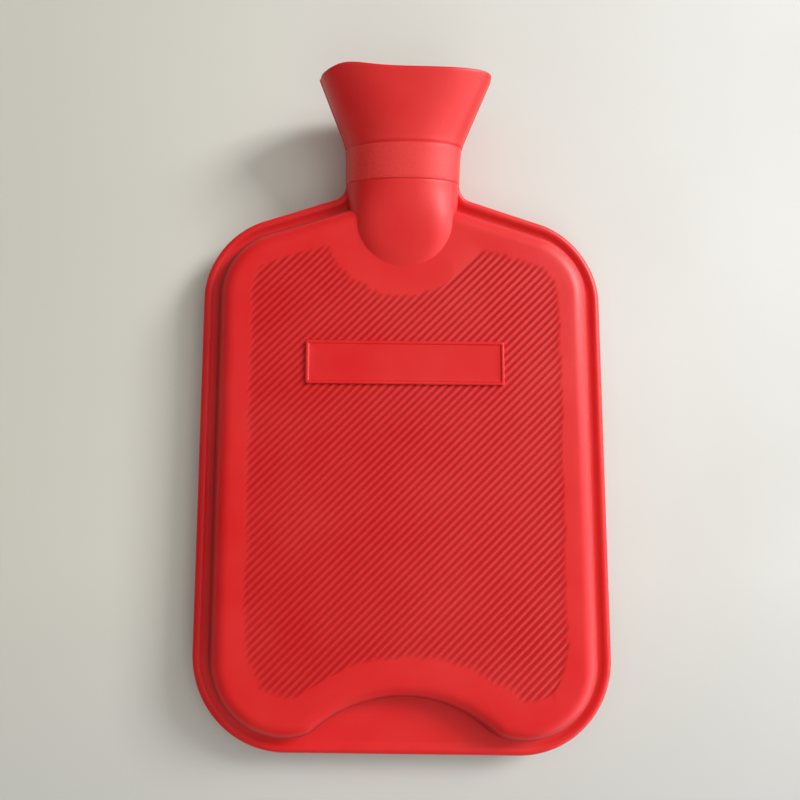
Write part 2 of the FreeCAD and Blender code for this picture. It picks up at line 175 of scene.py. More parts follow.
class ClosureSizes(bpy.types.PropertyGroup):
    """Sizes of the socket, washer and stopper, which are turned about the neck's axis"""

    thread_lead: bpy.props.FloatProperty(
        name="Thread lead", description="Rise of the thread in one turn", default=0.0045, unit="LENGTH")
    thread_height: bpy.props.FloatProperty(
        name="Thread height", description="From the thread's root to its crest",
        default=0.00085, unit="LENGTH")
    thread_crest: bpy.props.FloatProperty(
        name="Thread crest", description="Half width of the flat crest", default=0.0006, unit="LENGTH")
    thread_flank: bpy.props.FloatProperty(
        name="Thread flank", description="Width of each sloping flank", default=0.0009, unit="LENGTH")
    bore: bpy.props.FloatProperty(
        name="Bore", description="Radius of the socket's bore at the thread's root",
        default=0.011, unit="LENGTH")
    socket_radius: bpy.props.FloatProperty(
        name="Socket radius", description="Outer radius of the socket between its rings",
        default=0.0135, unit="LENGTH")
    socket_length: bpy.props.FloatProperty(
        name="Socket length", description="From the socket's foot to the seat", default=0.020, unit="LENGTH")
    rim_radius: bpy.props.FloatProperty(
        name="Rim radius", description="Radius of the socket's rim", default=0.0151, unit="LENGTH")
    rim_thickness: bpy.props.FloatProperty(
        name="Rim thickness", description="Thickness of that rim", default=0.0016, unit="LENGTH")
    ring_rise: bpy.props.FloatProperty(
        name="Ring rise", description="How far the grip rings stand out", default=0.001, unit="LENGTH")
    ring_height: bpy.props.FloatProperty(
        name="Ring height", description="Height of each grip ring", default=0.0022, unit="LENGTH")
    plug_radius: bpy.props.FloatProperty(
        name="Plug radius", description="Radius of the plug at the thread's root",
        default=0.0097, unit="LENGTH")
    plug_length: bpy.props.FloatProperty(
        name="Plug length", description="From the plug's foot to the seat", default=0.014, unit="LENGTH")
    core_radius: bpy.props.FloatProperty(
        name="Core radius", description="Radius of the hollow in the plug", default=0.0072, unit="LENGTH")
    core_roof: bpy.props.FloatProperty(
        name="Core roof", description="From the top of that hollow to the seat",
        default=0.003, unit="LENGTH")
    washer_bore: bpy.props.FloatProperty(
        name="Washer bore", description="Radius of the washer's hole", default=0.0101, unit="LENGTH")
    washer_radius: bpy.props.FloatProperty(
        name="Washer radius", description="Outer radius of the washer", default=0.014, unit="LENGTH")
    washer_thickness: bpy.props.FloatProperty(
        name="Washer thickness", description="Thickness of the washer", default=0.0022, unit="LENGTH")
    washer_play: bpy.props.FloatProperty(
        name="Washer play", description="Gap under the washer and over it", default=0.00005, unit="LENGTH")
    disc_radius: bpy.props.FloatProperty(
        name="Disc radius", description="Radius of the stopper's sealing disc",
        default=0.0144, unit="LENGTH")
    disc_thickness: bpy.props.FloatProperty(
        name="Disc thickness", description="Thickness of that disc", default=0.003, unit="LENGTH")
    grip_half_width: bpy.props.FloatProperty(
        name="Grip half width", description="Half the width of the wing grip", default=0.0125, unit="LENGTH")
    grip_height: bpy.props.FloatProperty(
        name="Grip height", description="Height of the grip over the disc", default=0.019, unit="LENGTH")
    grip_thickness: bpy.props.FloatProperty(
        name="Grip thickness", description="Thickness of the grip", default=0.005, unit="LENGTH")
    grip_corner: bpy.props.FloatProperty(
        name="Grip corner", description="Radius of the grip's upper corners", default=0.008, unit="LENGTH")
    grip_edge: bpy.props.FloatProperty(
        name="Grip edge", description="Radius of the grip's edges", default=0.0016, unit="LENGTH")


class FinishColours(bpy.types.PropertyGroup):
    """Colours of the finishes, as they look in plain light"""

    rubber: bpy.props.FloatVectorProperty(
        name="Rubber", description="Red rubber of the bottle", default=(0.68, 0.010, 0.012), subtype="COLOR")
    bloom: bpy.props.FloatVectorProperty(
        name="Bloom", description="Paler, matt film on the rubber",
        default=(0.80, 0.060, 0.055), subtype="COLOR")
    # Painted shade: the colour mixed into the grooves and the recess at the roll's foot, where shade falls
    groove: bpy.props.FloatVectorProperty(
        name="Groove", description="Rubber in the bottom of the grooves",
        default=(0.22, 0.002, 0.003), subtype="COLOR")
    socket: bpy.props.FloatVectorProperty(
        name="Socket", description="Ivory plastic of the socket",
        default=(0.62, 0.57, 0.45), subtype="COLOR")
    washer: bpy.props.FloatVectorProperty(
        name="Washer", description="Black rubber of the washer",
        default=(0.020, 0.019, 0.019), subtype="COLOR")
    stopper: bpy.props.FloatVectorProperty(
        name="Stopper", description="Black plastic of the stopper",
        default=(0.012, 0.012, 0.013), subtype="COLOR")
    floor: bpy.props.FloatVectorProperty(
        name="Floor", description="Pale surface under the bottle, to the left",
        default=(0.60, 0.595, 0.535), subtype="COLOR")
    # Painted light: paler floor colour towards the window on the right
    floor_painted_light: bpy.props.FloatVectorProperty(
        name="Floor, right", description="The same surface to the right",
        default=(0.76, 0.765, 0.755), subtype="COLOR")
    # Painted shade: darker, cooler floor colour below the bottle
    floor_painted_shade: bpy.props.FloatVectorProperty(
        name="Floor, below", description="The same surface below the bottle",
        default=(0.475, 0.49, 0.50), subtype="COLOR")


def circle_points(centre, radius, start, end, share):
    """Centre plus radius times cosine and sine of an angle that runs evenly from start to end."""
    turn = start + (end - start) * share
    return np.stack([centre[0] + radius * np.cos(turn), centre[1] + radius * np.sin(turn)], axis=1)


def circle_point(centre, radius, turn):
    """Centre plus radius times cosine and sine of one angle."""
    return np.array([centre[0] + radius * math.cos(turn), centre[1] + radius * math.sin(turn)])


def line_points(start, end, share):
    """Start plus share times the way to the end."""
    start = np.asarray(start)
    return start + (np.asarray(end) - start) * share[:, None]


def smooth_step(value):
    """Zero below 0, one above 1, and three squares less two cubes between."""
    held = np.clip(value, 0, 1)
    return held * held * (3 - 2 * held)


def soft_plus(value, softness):
    """Zero far below 0 and the value far above it, with a smooth turn that is about two softnesses long."""
    return softness * np.logaddexp(0, value / softness)


class Outlines:
    """The body's outlines, each made of two mirrored halves of eight stretches. The same stretch of two
    outlines runs past the same part of the bottle, so places round one answer to places round the other."""

    SAMPLES = 160
    # Distances from the middle at which the tab's edge and the shoulder's line are divided
    TAB_STOPS = (0.040, 0.046)
    SHOULDER_STOPS = (0.028, 0.020, 0.0)
    # The web beside the neck: its half width, and the radius of the hollow turn at its foot
    NECK_SIDE = 0.0286
    NECK_TURN = 0.008
    # How much of the field's corner answers to the lobe
    LOBE_PART = math.radians(10)

    def __init__(self, sizes):
        self.s = sizes
        self.share = np.arange(self.SAMPLES) / self.SAMPLES
        self.bottom = np.array([HALF_WIDTH - sizes.bottom_corner, sizes.bottom_corner])
        self.top = np.array([HALF_WIDTH - sizes.top_corner, sizes.side_top])
        self.slope = sizes.shoulder_slope
        self.lobe_end = -QUARTER - sizes.lobe_turn
        reach = sizes.bottom_corner - sizes.flange_width - sizes.lobe_radius
        self.lobe = circle_point(self.bottom, reach, self.lobe_end)
        rise = self.lobe[1] - sizes.arch_peak
        square = self.lobe[0] ** 2 + rise ** 2 - sizes.lobe_radius ** 2
        self.arch_radius = square / (2 * (sizes.lobe_radius - rise))
        self.arch = np.array([0.0, sizes.arch_peak - self.arch_radius])
        self.arch_end = math.atan2(self.lobe[1] - self.arch[1], self.lobe[0])

    def shoulder(self, inset, x):
        """Point at x on the shoulder's line, which lies inset from the flange's edge."""
        height = self.top[1] + (self.s.top_corner - inset) / math.cos(self.slope)
        return np.array([x, height + (self.top[0] - x) * math.tan(self.slope)])

    def shoulder_start(self, inset):
        """Point where the top corner ends and the shoulder's line begins."""
        return circle_point(self.top, self.s.top_corner - inset, QUARTER - self.slope)

    def side(self, inset, low):
        """Straight side from a height up to the top corner."""
        return line_points([HALF_WIDTH - inset, low], [HALF_WIDTH - inset, self.top[1]], self.share)

    def top_corner(self, inset):
        """Arc from the side round to the shoulder's line."""
        return circle_points(self.top, self.s.top_corner - inset, 0, QUARTER - self.slope, self.share)

    def closed(self, right, left=None):
        """Whole outline, counter-clockwise from the middle of the bottom, from lists of right-hand stretches.
        The second list, or else the first, is mirrored for the left half."""
        half = np.concatenate(right)
        other = np.concatenate(left or right)
        back = np.concatenate([other, [[0.0, other[-1, 1]]]])[::-1][:-1]
        return np.concatenate([half, back * np.array([-1, 1])])

    def bladder(self, extra):
        """Bladder's outline drawn in by extra: arch, lobe, corner, side, top corner and shoulder."""
        s = self.s
        inset = s.flange_width + extra
        lobe_start = self.arch_end - math.pi
        stretches = [
            circle_points(self.arch, self.arch_radius + extra, QUARTER, self.arch_end, self.share),
            circle_points(self.lobe, s.lobe_radius - extra, lobe_start, self.lobe_end, self.share),
            circle_points(self.bottom, s.bottom_corner - inset, self.lobe_end, 0, self.share),
            self.side(inset, self.bottom[1]),
            self.top_corner(inset),
        ]
        stops = (self.shoulder_start(inset)[0], *self.SHOULDER_STOPS)
        for near, far in zip(stops, stops[1:]):
            stretches.append(line_points(self.shoulder(inset, near), self.shoulder(inset, far), self.share))
        return self.closed(stretches)

    def flange(self, inset):
        """Flange's outline: straight bottom, corner, side, shoulder and a hollow turn beside the neck."""
        s = self.s
        first, second = self.TAB_STOPS
        corner = s.bottom_corner - inset
        flat = self.bottom[0] - second
        part = flat / (flat + corner * QUARTER)
        turning = np.clip((self.share - part) / (1 - part), 0, 1)
        turned = circle_points(self.bottom, corner, -QUARTER, 0, turning)
        turned[:, 0] -= flat * np.clip(1 - self.share / part, 0, 1)
        middle = self.NECK_SIDE + self.NECK_TURN
        centre = np.array([middle, self.shoulder(0, middle)[1] + self.NECK_TURN / math.cos(self.slope)])
        hollow = circle_points(centre, self.NECK_TURN + inset, -QUARTER - self.slope, -math.pi, self.share)
        return self.closed([
            line_points([0, inset], [first, inset], self.share),
            line_points([first, inset], [second, inset], self.share),
            turned,
            self.side(inset, self.bottom[1]),
            self.top_corner(inset),
            line_points(self.shoulder_start(inset), hollow[0], self.share),
            hollow,
            line_points([self.NECK_SIDE - inset, centre[1]], [0, centre[1]], self.share),
        ])

    def field_foot(self, low, high):
        """First stretches of the ribbed field: an arc over the arch, the corner in two parts, and the side.
        The corner is stretched sideways to meet the side's margin, and in height to field_corner."""
        s = self.s
        radius = s.bottom_corner - low
        arch = self.arch_radius + s.roll_radius + s.margin_bottom
        between = self.arch - self.bottom
        distance = math.hypot(*between)
        along = (distance ** 2 + radius ** 2 - arch ** 2) / (2 * distance)
        across = math.sqrt(radius ** 2 - along ** 2)
        unit = between / distance
        foot = self.bottom + unit * along + np.array([-unit[1], unit[0]]) * across
        at_arch = math.atan2(foot[1] - self.arch[1], foot[0])
        at_corner = math.atan2(foot[1] - self.bottom[1], foot[0] - self.bottom[0])
        turned = at_corner + self.LOBE_PART
        corner = [
            circle_points(self.bottom, radius, at_corner, turned, self.share),
            circle_points(self.bottom, radius, turned, 0, self.share),
        ]
        level = self.bottom[1] - radius
        for part in corner:
            past = part[:, 0] > self.bottom[0]
            part[past, 0] += (part[past, 0] - self.bottom[0]) * (low - high) / radius
            part[past, 1] = level + (part[past, 1] - level) * s.field_corner / radius
        over_arch = circle_points(self.arch, arch, QUARTER, at_arch, self.share)
        return [over_arch, *corner, self.side(high, level + s.field_corner)]

    def field_half(self, along_ribs):
        """Half of the ribbed field's outline. On the right, the notch's far corner is cut off along a rib."""
        s = self.s
        low = s.flange_width + s.roll_radius + s.margin_bottom
        high = s.flange_width + s.roll_radius + s.margin_top
        notch = np.array([0.0, s.notch_centre])
        grade = math.tan(self.slope)
        peak = self.shoulder(high, 0)[1]
        if along_ribs:
            tangent = circle_point(notch, s.notch_radius, -QUARTER / 2)
            corner = self.shoulder(high, (peak - (tangent[1] - tangent[0])) / (1 + grade))
            throat = line_points(corner, tangent, self.share)
        else:
            over = peak - notch[1]
            root = math.sqrt((grade * over) ** 2 - (1 + grade ** 2) * (over ** 2 - s.notch_radius ** 2))
            corner = self.shoulder(high, (grade * over + root) / (1 + grade ** 2))
            begin = math.atan2(corner[1] - notch[1], corner[0])
            throat = circle_points(notch, s.notch_radius, begin, -QUARTER / 2, self.share)
        return self.field_foot(low, high) + [
            self.top_corner(high),
            line_points(self.shoulder_start(high), corner, self.share),
            throat,
            circle_points(notch, s.notch_radius, -QUARTER / 2, -QUARTER, self.share),
        ]

    def field(self):
        """Whole outline of the ribbed field, whose two halves differ at the notch."""
        return self.closed(self.field_half(True), self.field_half(False))


class Panel:
    """Grid of the ribbed field: rows run along the ribs, and columns crowd towards both ends of each row."""

    # Rows: places within a rib's pitch, ribs each way from the notch's corner, least distance from an end
    PHASES = (0.0, 0.13, 0.25, 0.37, 0.5, 0.63, 0.75, 0.87)
    EACH_WAY = 120
    EDGE_MARGIN = 0.0001
    # Columns: their distances from a row's ends, how many lie between, and how a short row crowds them
    END_STEPS = (0.0, 0.0008, 0.0016, 0.0026, 0.0038, 0.0058, 0.0095)
    FAR_STEPS = (0.0, 0.0008, 0.0016, 0.0026, 0.0038, 0.0060)
    MIDDLE_COLUMNS = 4
    FAR_SHARE = 0.3
    END_ROOM = 3
    FAR_ROOM = 1.5
    # Grooves: the power that widens them, and the most by which an end stops short
    WIDENING = 0.8
    UNEVEN_END = 0.0022

    def __init__(self, outlines):
        s = outlines.s
        self.sizes = s
        field = outlines.field()
        ring = np.concatenate([field, field[:1]])
        length = np.concatenate([[0], np.cumsum(np.hypot(*np.diff(ring, axis=0).T))])
        self.u = length / length[-1]
        across = (ring[:, 1] - ring[:, 0]) / math.sqrt(2)
        along = (ring[:, 1] + ring[:, 0]) / math.sqrt(2)
        samples = outlines.SAMPLES
        throat = 6 * samples
        notch = 7 * samples
        low = int(np.argmin(across[:4 * samples]))
        high = int(np.argmax(across))
        tangent = across[notch]
        numbers = np.arange(-self.EACH_WAY, self.EACH_WAY)
        groove = np.repeat(numbers, len(self.PHASES))
        phase = np.tile(self.PHASES, len(numbers))
        cross = tangent + s.rib_pitch * (groove + phase)
        kept = (cross > across[low] + self.EDGE_MARGIN) & (cross < across[high] - self.EDGE_MARGIN)
        self.cross, self.groove, self.phase = cross[kept], groove[kept], phase[kept]
        self.split = int(np.argmin(np.abs(self.cross - tangent)))
        self.rows = len(self.cross)
        right_low = slice(low, throat + 1)
        right_high = slice(notch, high + 1)
        order = np.concatenate([np.arange(high, len(self.u) - 1), np.arange(0, low + 1)])[::-1]
        left_u = np.where(order <= low, self.u[order], self.u[order] - 1)
        self.left = np.interp(self.cross, across[order], along[order])
        self.left_u = np.interp(self.cross, across[order], left_u)
        below = self.cross[:self.split + 1]
        above = self.cross[self.split + 1:]
        self.right = np.concatenate([
            np.interp(below, across[right_low], along[right_low]),
            np.interp(above, across[right_high], along[right_high]),
        ])
        self.right_u = np.concatenate([
            np.interp(below, across[right_low], self.u[right_low]),
            np.interp(above, across[right_high], self.u[right_high]),
        ])
        self.tangent_along = along[notch]
        self.tangent_u = self.u[notch]
        self.ring = ring

    def columns(self):
        """Places along each row: near columns in every row, and far columns in the rows below the notch."""
        near = np.array(self.END_STEPS)
        far = np.array(self.FAR_STEPS)
        span = self.right - self.left
        far_span = np.zeros(self.rows)
        far_width = self.right[self.split] - self.tangent_along
        far_span[:self.split + 1] = np.minimum(far_width, self.FAR_SHARE * span[:self.split + 1])
        stop = self.right - far_span
        stop[self.split] = self.tangent_along
        middle = np.linspace(0, 1, self.MIDDLE_COLUMNS + 2)[1:-1]
        width = stop - self.left
        scale = np.minimum(1, width / (self.END_ROOM * near[-1]))[:, None]
        start = self.left[:, None] + scale * near
        end = stop[:, None] - scale * near[::-1]
        between = start[:, -1:] + (end[:, :1] - start[:, -1:]) * middle
        near_grid = np.concatenate([start, between, end], axis=1)
        far_width = (self.right - stop)[:self.split + 1, None]
        shrink = np.minimum(1, far_width / (self.FAR_ROOM * far[-1]))
        far_end = self.right[:self.split + 1, None] - shrink * far[::-1]
        far_grid = np.concatenate([(stop[:self.split + 1, None] + far_end[:, :1]) / 2, far_end], axis=1)
        return near_grid, far_grid

    def build(self):
        """Corners of the grid, their depth, the quads, and the rim with its places round the outline."""
        near_grid, far_grid = self.columns()
        near, far = near_grid.shape[1], far_grid.shape[1]
        index = np.full((self.rows, near + far), -1)
        index[:, :near] = np.arange(self.rows * near).reshape(self.rows, near)
        low_rows = self.split + 1
        index[:low_rows, near:] = self.rows * near + np.arange(low_rows * far).reshape(low_rows, far)
        along = np.concatenate([near_grid.ravel(), far_grid.ravel()])
        row_of = np.concatenate([np.repeat(np.arange(self.rows), near), np.repeat(np.arange(low_rows), far)])
        across = self.cross[row_of]
        points = np.stack([along - across, along + across], axis=1) / math.sqrt(2)
        depth = self.depth(along, row_of)
        quads = [self.quads(index[:, :near]), self.quads(index[:low_rows, near - 1:])]
        last = self.rows - 1
        rim = np.concatenate([
            index[1:self.split, -1],
            index[self.split, :near - 1:-1],
            index[self.split:last, near - 1],
            index[last, near - 1::-1],
            index[last - 1:0:-1, 0],
            index[0, :],
        ])
        first_share = np.linspace(0, 1, near + far)
        last_share = np.linspace(0, 1, near)
        throat = self.tangent_along - self.right[self.split]
        throat_share = (far_grid[self.split] - self.right[self.split]) / throat
        throat_u = self.right_u[self.split] + (self.tangent_u - self.right_u[self.split]) * throat_share
        rim_u = np.concatenate([
            self.right_u[1:self.split],
            throat_u[::-1],
            [self.tangent_u],
            self.right_u[self.split + 1:last],
            (self.left_u[last] + 1 + (self.right_u[last] - self.left_u[last] - 1) * last_share)[::-1],
            self.left_u[last - 1:0:-1] % 1,
            self.left_u[0] + (self.right_u[0] - self.left_u[0]) * first_share,
        ])
        for axis in (0, 1):
            points[rim, axis] = np.interp(rim_u, self.u, self.ring[:, axis])
        depth[rim] = 0
        return points, depth, np.concatenate(quads), rim, rim_u

    @staticmethod
    def quads(index):
        """Quads between neighbouring rows and columns of a grid of corner numbers."""
        corners = [index[:-1, :-1], index[:-1, 1:], index[1:, 1:], index[1:, :-1]]
        return np.stack(corners, axis=-1).reshape(-1, 4)

    def depth(self, along, row_of):
        """Groove depth times a raised cosine across the ribs, run out towards each end, with uneven ends."""
        s = self.sizes
        wave = 0.5 - 0.5 * np.cos(2 * math.pi * self.phase[row_of])
        uneven = np.random.default_rng(4).uniform(0, self.UNEVEN_END, (2 * self.EACH_WAY, 2))
        shift = uneven[self.groove[row_of] + self.EACH_WAY]
        from_left = (along - self.left[row_of] - shift[:, 0]) / s.groove_fade
        from_right = (self.right[row_of] - along - shift[:, 1]) / s.groove_fade
        return s.groove_depth * wave ** self.WIDENING * smooth_step(from_left) * smooth_step(from_right)


def neck_lift(neck, y):
    """Height of the bent seam plane over the flat one: a parabola through the bend, then a straight slope."""
    grade = math.tan(neck.angle)
    past = y - (neck.bend - neck.bend_half)
    length = 2 * neck.bend_half
    bent = grade * np.clip(past, 0, None) ** 2 / (2 * length)
    return np.where(past < length, bent, grade * (past - length / 2))


def body_rings(outlines, rim_u, dense_u):
    """Rings outward from the ribbed field: flat margin, quarter round, fillet, web and half of the bead. Each
    has its outline, its height over the seam plane, and its share of the recess at the roll's foot, which
    gets painted shade and more matt rubber."""
    s = outlines.s
    radius, bead = s.roll_round, s.bead_radius
    web = s.web_thickness / 2
    fillet = 0.0008
    recess_start, recess_fade = 0.42, 0.25
    web_edge = 2.45 * bead
    roll_rings, fillet_rings = 11, 4
    bead_degrees = (147, 122, 97, 72, 48, 24, 0)
    rings = [((outlines.field() + outlines.bladder(radius)) / 2, HALF_DEPTH, 0)]
    for turn in np.linspace(0, QUARTER, roll_rings):
        outline = outlines.bladder(radius * (1 - math.sin(turn)))
        height = HALF_DEPTH - radius * (1 - math.cos(turn))
        # Painted shade: the recess share darkens the roll's lower turn and the fillet, where the roll's
        # shadow falls
        rings.append((outline, height, float(smooth_step((turn / QUARTER - recess_start) / recess_fade))))
    for turn in np.linspace(0, QUARTER, fillet_rings):
        outline = outlines.bladder(-fillet * (1 - math.cos(turn)))
        rings.append((outline, web + fillet * (1 - math.sin(turn)), 1))
    rings.append((outlines.bladder(-s.recess_width), web, 0))
    rings.append((outlines.flange(web_edge), web, 0))
    for turn in np.radians(bead_degrees):
        rings.append((outlines.flange(bead * (1 - math.cos(turn))), bead * math.sin(turn), 0))
    placed = []
    for outline, height, recess in rings:
        closed = np.concatenate([outline, outline[:1]])
        plan = np.stack([np.interp(rim_u, dense_u, closed[:, axis]) for axis in (0, 1)], axis=1)
        placed.append((plan, height, recess))
    return placed


def bottle_body(sizes, neck):
    """Body of the bottle as one closed skin: ribbed front and back fields, and rings from each to the seam.
    The painted shade in a groove is its share of the full depth, raised to a power."""
    outlines = Outlines(sizes)
    panel = Panel(outlines)
    points, depth, panel_quads, rim, rim_u = panel.build()
    plans, heights, recesses = zip(*body_rings(outlines, rim_u, panel.u))
    count, first = len(rim), len(points)
    last_ring = first + count * (len(plans) - 1)
    groove_shade_power = 0.6

    def whole(on_panel, on_rings, back=1):
        """Values for the front's corners, then times back for the other face, which shares the last ring."""
        front = np.concatenate([on_panel, np.repeat(on_rings, count)])
        return np.concatenate([front, back * front[:last_ring]])

    plan = np.concatenate([points, *plans])
    loops = [rim] + [first + count * step + np.arange(count) for step in range(len(plans))]
    quads = [panel_quads]
    following = np.roll(np.arange(count), -1)
    for inner, outer in zip(loops, loops[1:]):
        quads.append(np.stack([inner, outer, outer[following], inner[following]], axis=1))
    front = np.concatenate(quads)
    back = front[:, ::-1]
    back = np.where(back >= last_ring, back, back + len(plan))
    plan = np.concatenate([plan, plan[:last_ring]])
    height = whole(HALF_DEPTH - depth, heights, -1) + neck_lift(neck, plan[:, 1])
    verts = np.stack([plan[:, 0], plan[:, 1] + BOTTOM_EDGE, HALF_DEPTH + height], axis=1)
    return make_piece("bottle_body", verts, [front, back], {
        # Masks for painted shade: in the grooves by depth, and at the roll's foot by recess share
        "groove": whole((depth / sizes.groove_depth) ** groove_shade_power, np.zeros(len(plans))),
        "recess": whole(np.zeros(first), recesses),
    })


def make_piece(name, verts, faces, attributes=None):
    """Mesh object from corners, lists of faces and named values on the corners, smooth shaded."""
    mesh = bpy.data.meshes.new(name)
    rows = [row for block in faces for row in np.asarray(block).tolist()]
    mesh.from_pydata(np.asarray(verts).tolist(), [], rows)
    for key, values in (attributes or {}).items():
        layer = mesh.attributes.new(key, "FLOAT", "POINT")
        layer.data.foreach_set("value", np.asarray(values, np.float32))
    mesh.polygons.foreach_set("use_smooth", np.ones(len(mesh.polygons), bool))
    mesh.update()
    piece = bpy.data.objects.new(name, mesh)
    bpy.context.scene.collection.objects.link(piece)
    return piece


def ring_faces(shape, caps=True, flip=False):
    """Quads between neighbouring closed rings. The ends get fans to two last corners, or join each other."""
    total, count = shape
    index = np.arange(total * count).reshape(total, count)
    after = np.roll(index, -1, axis=1)
    if caps:
        near, near_after, far, far_after = index[:-1], after[:-1], index[1:], after[1:]
    else:
        near, near_after = index, after
        far, far_after = np.roll(index, -1, axis=0), np.roll(after, -1, axis=0)
    blocks = [np.stack([near, far, far_after, near_after], axis=-1).reshape(-1, 4)]
    if caps:
        centre = total * count
        blocks.append(np.stack([np.full(count, centre), index[0], after[0]], axis=1))
        blocks.append(np.stack([np.full(count, centre + 1), after[-1], index[-1]], axis=1))
    if flip:
        blocks = [block[:, ::-1] for block in blocks]
    return blocks


def ring_piece(name, rings, caps=True, flip=False, attributes=None):
    """Piece from a stack of closed rings, with a corner in the middle of each end that is closed."""
    verts = rings.reshape(-1, 3)
    if caps:
        verts = np.concatenate([verts, [rings[0].mean(axis=0), rings[-1].mean(axis=0)]])
    return make_piece(name, verts, ring_faces(rings.shape[:2], caps, flip), attributes)


def neck_axis_point(neck, x, height, along):
    """Point in the frame from its place on the neck: across, above the seam plane, and along the axis."""
    sine, cosine = math.sin(neck.angle), math.cos(neck.angle)
    y = neck.bend + BOTTOM_EDGE + along * cosine - height * sine
    z = HALF_DEPTH + along * sine + height * cosine
    return np.stack(np.broadcast_arrays(x, y, z), axis=-1)


def neck_half_width(neck, along):
    """Half width of the neck: nearly even up to the collar, then a straight flare that starts softly."""
    narrow, swell, flare, softness = 0.0274, 0.0006, 0.415, 0.0018
    swell_start = 0.0055
    swelling = swell * smooth_step((along - swell_start) / (neck.collar_start - swell_start))
    past_collar = along - neck.collar_start - neck.collar_length
    return narrow + swelling + flare * soft_plus(past_collar, softness)


def neck_half_depth(neck, along):
    """Half depth of the neck: least at the tongue's tip, with a low hump from there to the collar."""
    shallow, swell, hump, flare, softness = 0.0197, 0.0003, 0.0006, 0.070, 0.004
    hump_start, hump_side = -0.016, 0.020
    before_collar = neck.collar_start - along
    past_collar = along - neck.collar_start - neck.collar_length
    humped = hump * smooth_step((along - hump_start) / hump_side) * smooth_step(before_collar / hump_side)
    swelling = swell * smooth_step(along / neck.collar_start)
    return shallow + humped + swelling + flare * soft_plus(past_collar, softness)


def neck_power(neck, along):
    """Power of the section: an ellipse at 2, squarer above it, at the tongue and towards the mouth."""
    plain, tongue, mouth = 2.2, 2.2, 0.5
    tongue_fade, mouth_start = 0.043, 0.045
    at_tongue = smooth_step((neck.collar_start - along) / tongue_fade)
    at_mouth = smooth_step((along - mouth_start) / (neck.mouth - mouth_start))
    return plain + tongue * at_tongue + mouth * at_mouth


def neck_angles():
    """Angles round the neck: even steps, with extra ones beside the two seams."""
    beside_seam = np.radians([0.0, 0.9, 1.8, 2.9, 4.2])
    even = np.radians(np.arange(7.0, 174.0, 2.6))
    upper = np.concatenate([beside_seam, even, (math.pi - beside_seam)[:0:-1]])
    return np.concatenate([upper, upper + math.pi])


def front_height(neck, x, along):
    """Height of the section's front over its long axis at x: that of a superellipse."""
    power = neck_power(neck, along)
    inside = np.clip(1 - np.abs(x / neck_half_width(neck, along)) ** power, 0, 1)
    return neck_half_depth(neck, along) * inside ** (1 / power)


def seam_ridge(neck, height):
    """Outward rise near the seam plane: a bell curve of the height over it."""
    bell_width = 0.00065
    return neck.seam_rise * np.exp(-(height / bell_width) ** 2)


def neck_section(neck, angles, along, grow):
    """Superellipse section grown outward by grow, with the seam's ridge on both sides."""
    power = neck_power(neck, along)
    cosine, sine = np.cos(angles), np.sin(angles)
    half_width = neck_half_width(neck, along) + grow
    half_depth = neck_half_depth(neck, along) + grow
    x = half_width * np.sign(cosine) * np.abs(cosine) ** (2 / power)
    height = half_depth * np.sign(sine) * np.abs(sine) ** (2 / power)
    return x + np.sign(cosine) * seam_ridge(neck, height), height


def tongue_start(neck, angles):
    """Where the neck begins: the tongue's half ellipse in front, and inside the body's rolled edge behind.
    The sixth power of the cosine moves both beside the seams."""
    tongue_power = 4.4
    back_middle, back_rise, side_fall = 0.238, 0.0235, 0.0015
    cosine = np.cos(angles)
    beside_seam = np.abs(cosine) ** 6
    front = np.sin(angles) >= -1e-9
    share = np.sign(cosine) * np.abs(cosine) ** (2 / tongue_power)
    x = neck.tongue_half_width * share
    reach = neck.tongue_length * np.sqrt(np.clip(1 - share ** 2, 0, 1))
    front_y = neck.tongue_tip + neck.tongue_length - reach
    y = np.where(front, front_y, back_middle + back_rise * beside_seam) - side_fall * beside_seam
    along = (y - neck.bend) / math.cos(neck.angle)
    for _ in range(8):
        section = neck_section(neck, angles, along, 0.0)[1]
        height = np.where(front, front_height(neck, x, along), section)
        along = (y - neck.bend + height * math.sin(neck.angle)) / math.cos(neck.angle)
    return front, x, along


def tongue_rings(neck, angles):
    """Rings from the tongue's edge to the collar. In front each column keeps its place across for a while,
    and its height is the section's, less a drop that brings the tongue's edge down to the panel and fades as
    the fourth power of the way left."""
    over_panel, below_collar = 0.00015, 0.0022
    ring_count, crowding = 26, 1.3
    front, x_start, start = tongue_start(neck, angles)
    end = neck.collar_start - below_collar
    level = neck_axis_point(neck, x_start, front_height(neck, x_start, start), start)[:, 2]
    over = np.clip(level - 2 * HALF_DEPTH - over_panel, 0, None)
    drop = np.where(front, over, 0) / math.cos(neck.angle)
    rings = []
    for part in np.linspace(0, 1, ring_count) ** crowding:
        along = start + (end - start) * part
        x_round, height_round = neck_section(neck, angles, along, 0.0)
        x = np.where(front, x_start + (x_round - x_start) * part, x_round)
        height = np.where(front, front_height(neck, x, along), height_round) - drop * (1 - part) ** 4
        rings.append(neck_axis_point(neck, x, height, along))
    return rings, front


def tongue_skirt(neck, edge, angles, front):
    """Rounded edge of the tongue and the wall under it, which goes down into the body. Each row of the
    profile has the angle of the round and how far it lies below the round's foot."""
    radius, back_share = 0.0007, 0.1
    profile = ((QUARTER, 0.016), (QUARTER, 0.004), (QUARTER, 0.0015), (QUARTER, 0), (0.95, 0), (0.45, 0))
    cosine, sine = np.cos(angles), np.sin(angles)
    outward = np.stack([cosine * neck.tongue_length, -sine * neck.tongue_half_width], axis=1)
    outward /= np.maximum(np.hypot(*outward.T), 1e-9)[:, None]
    rows = []
    for turn, fall in profile:
        out = radius * math.sin(turn)
        down = radius * (1 - math.cos(turn)) + fall
        row = edge.copy()
        row[:, :2] += np.where(front, out, 0)[:, None] * outward
        row[:, 2] -= np.where(front, down, 0)
        row[:, 1] -= np.where(front, 0, down * back_share)
        rows.append(row)
    return rows


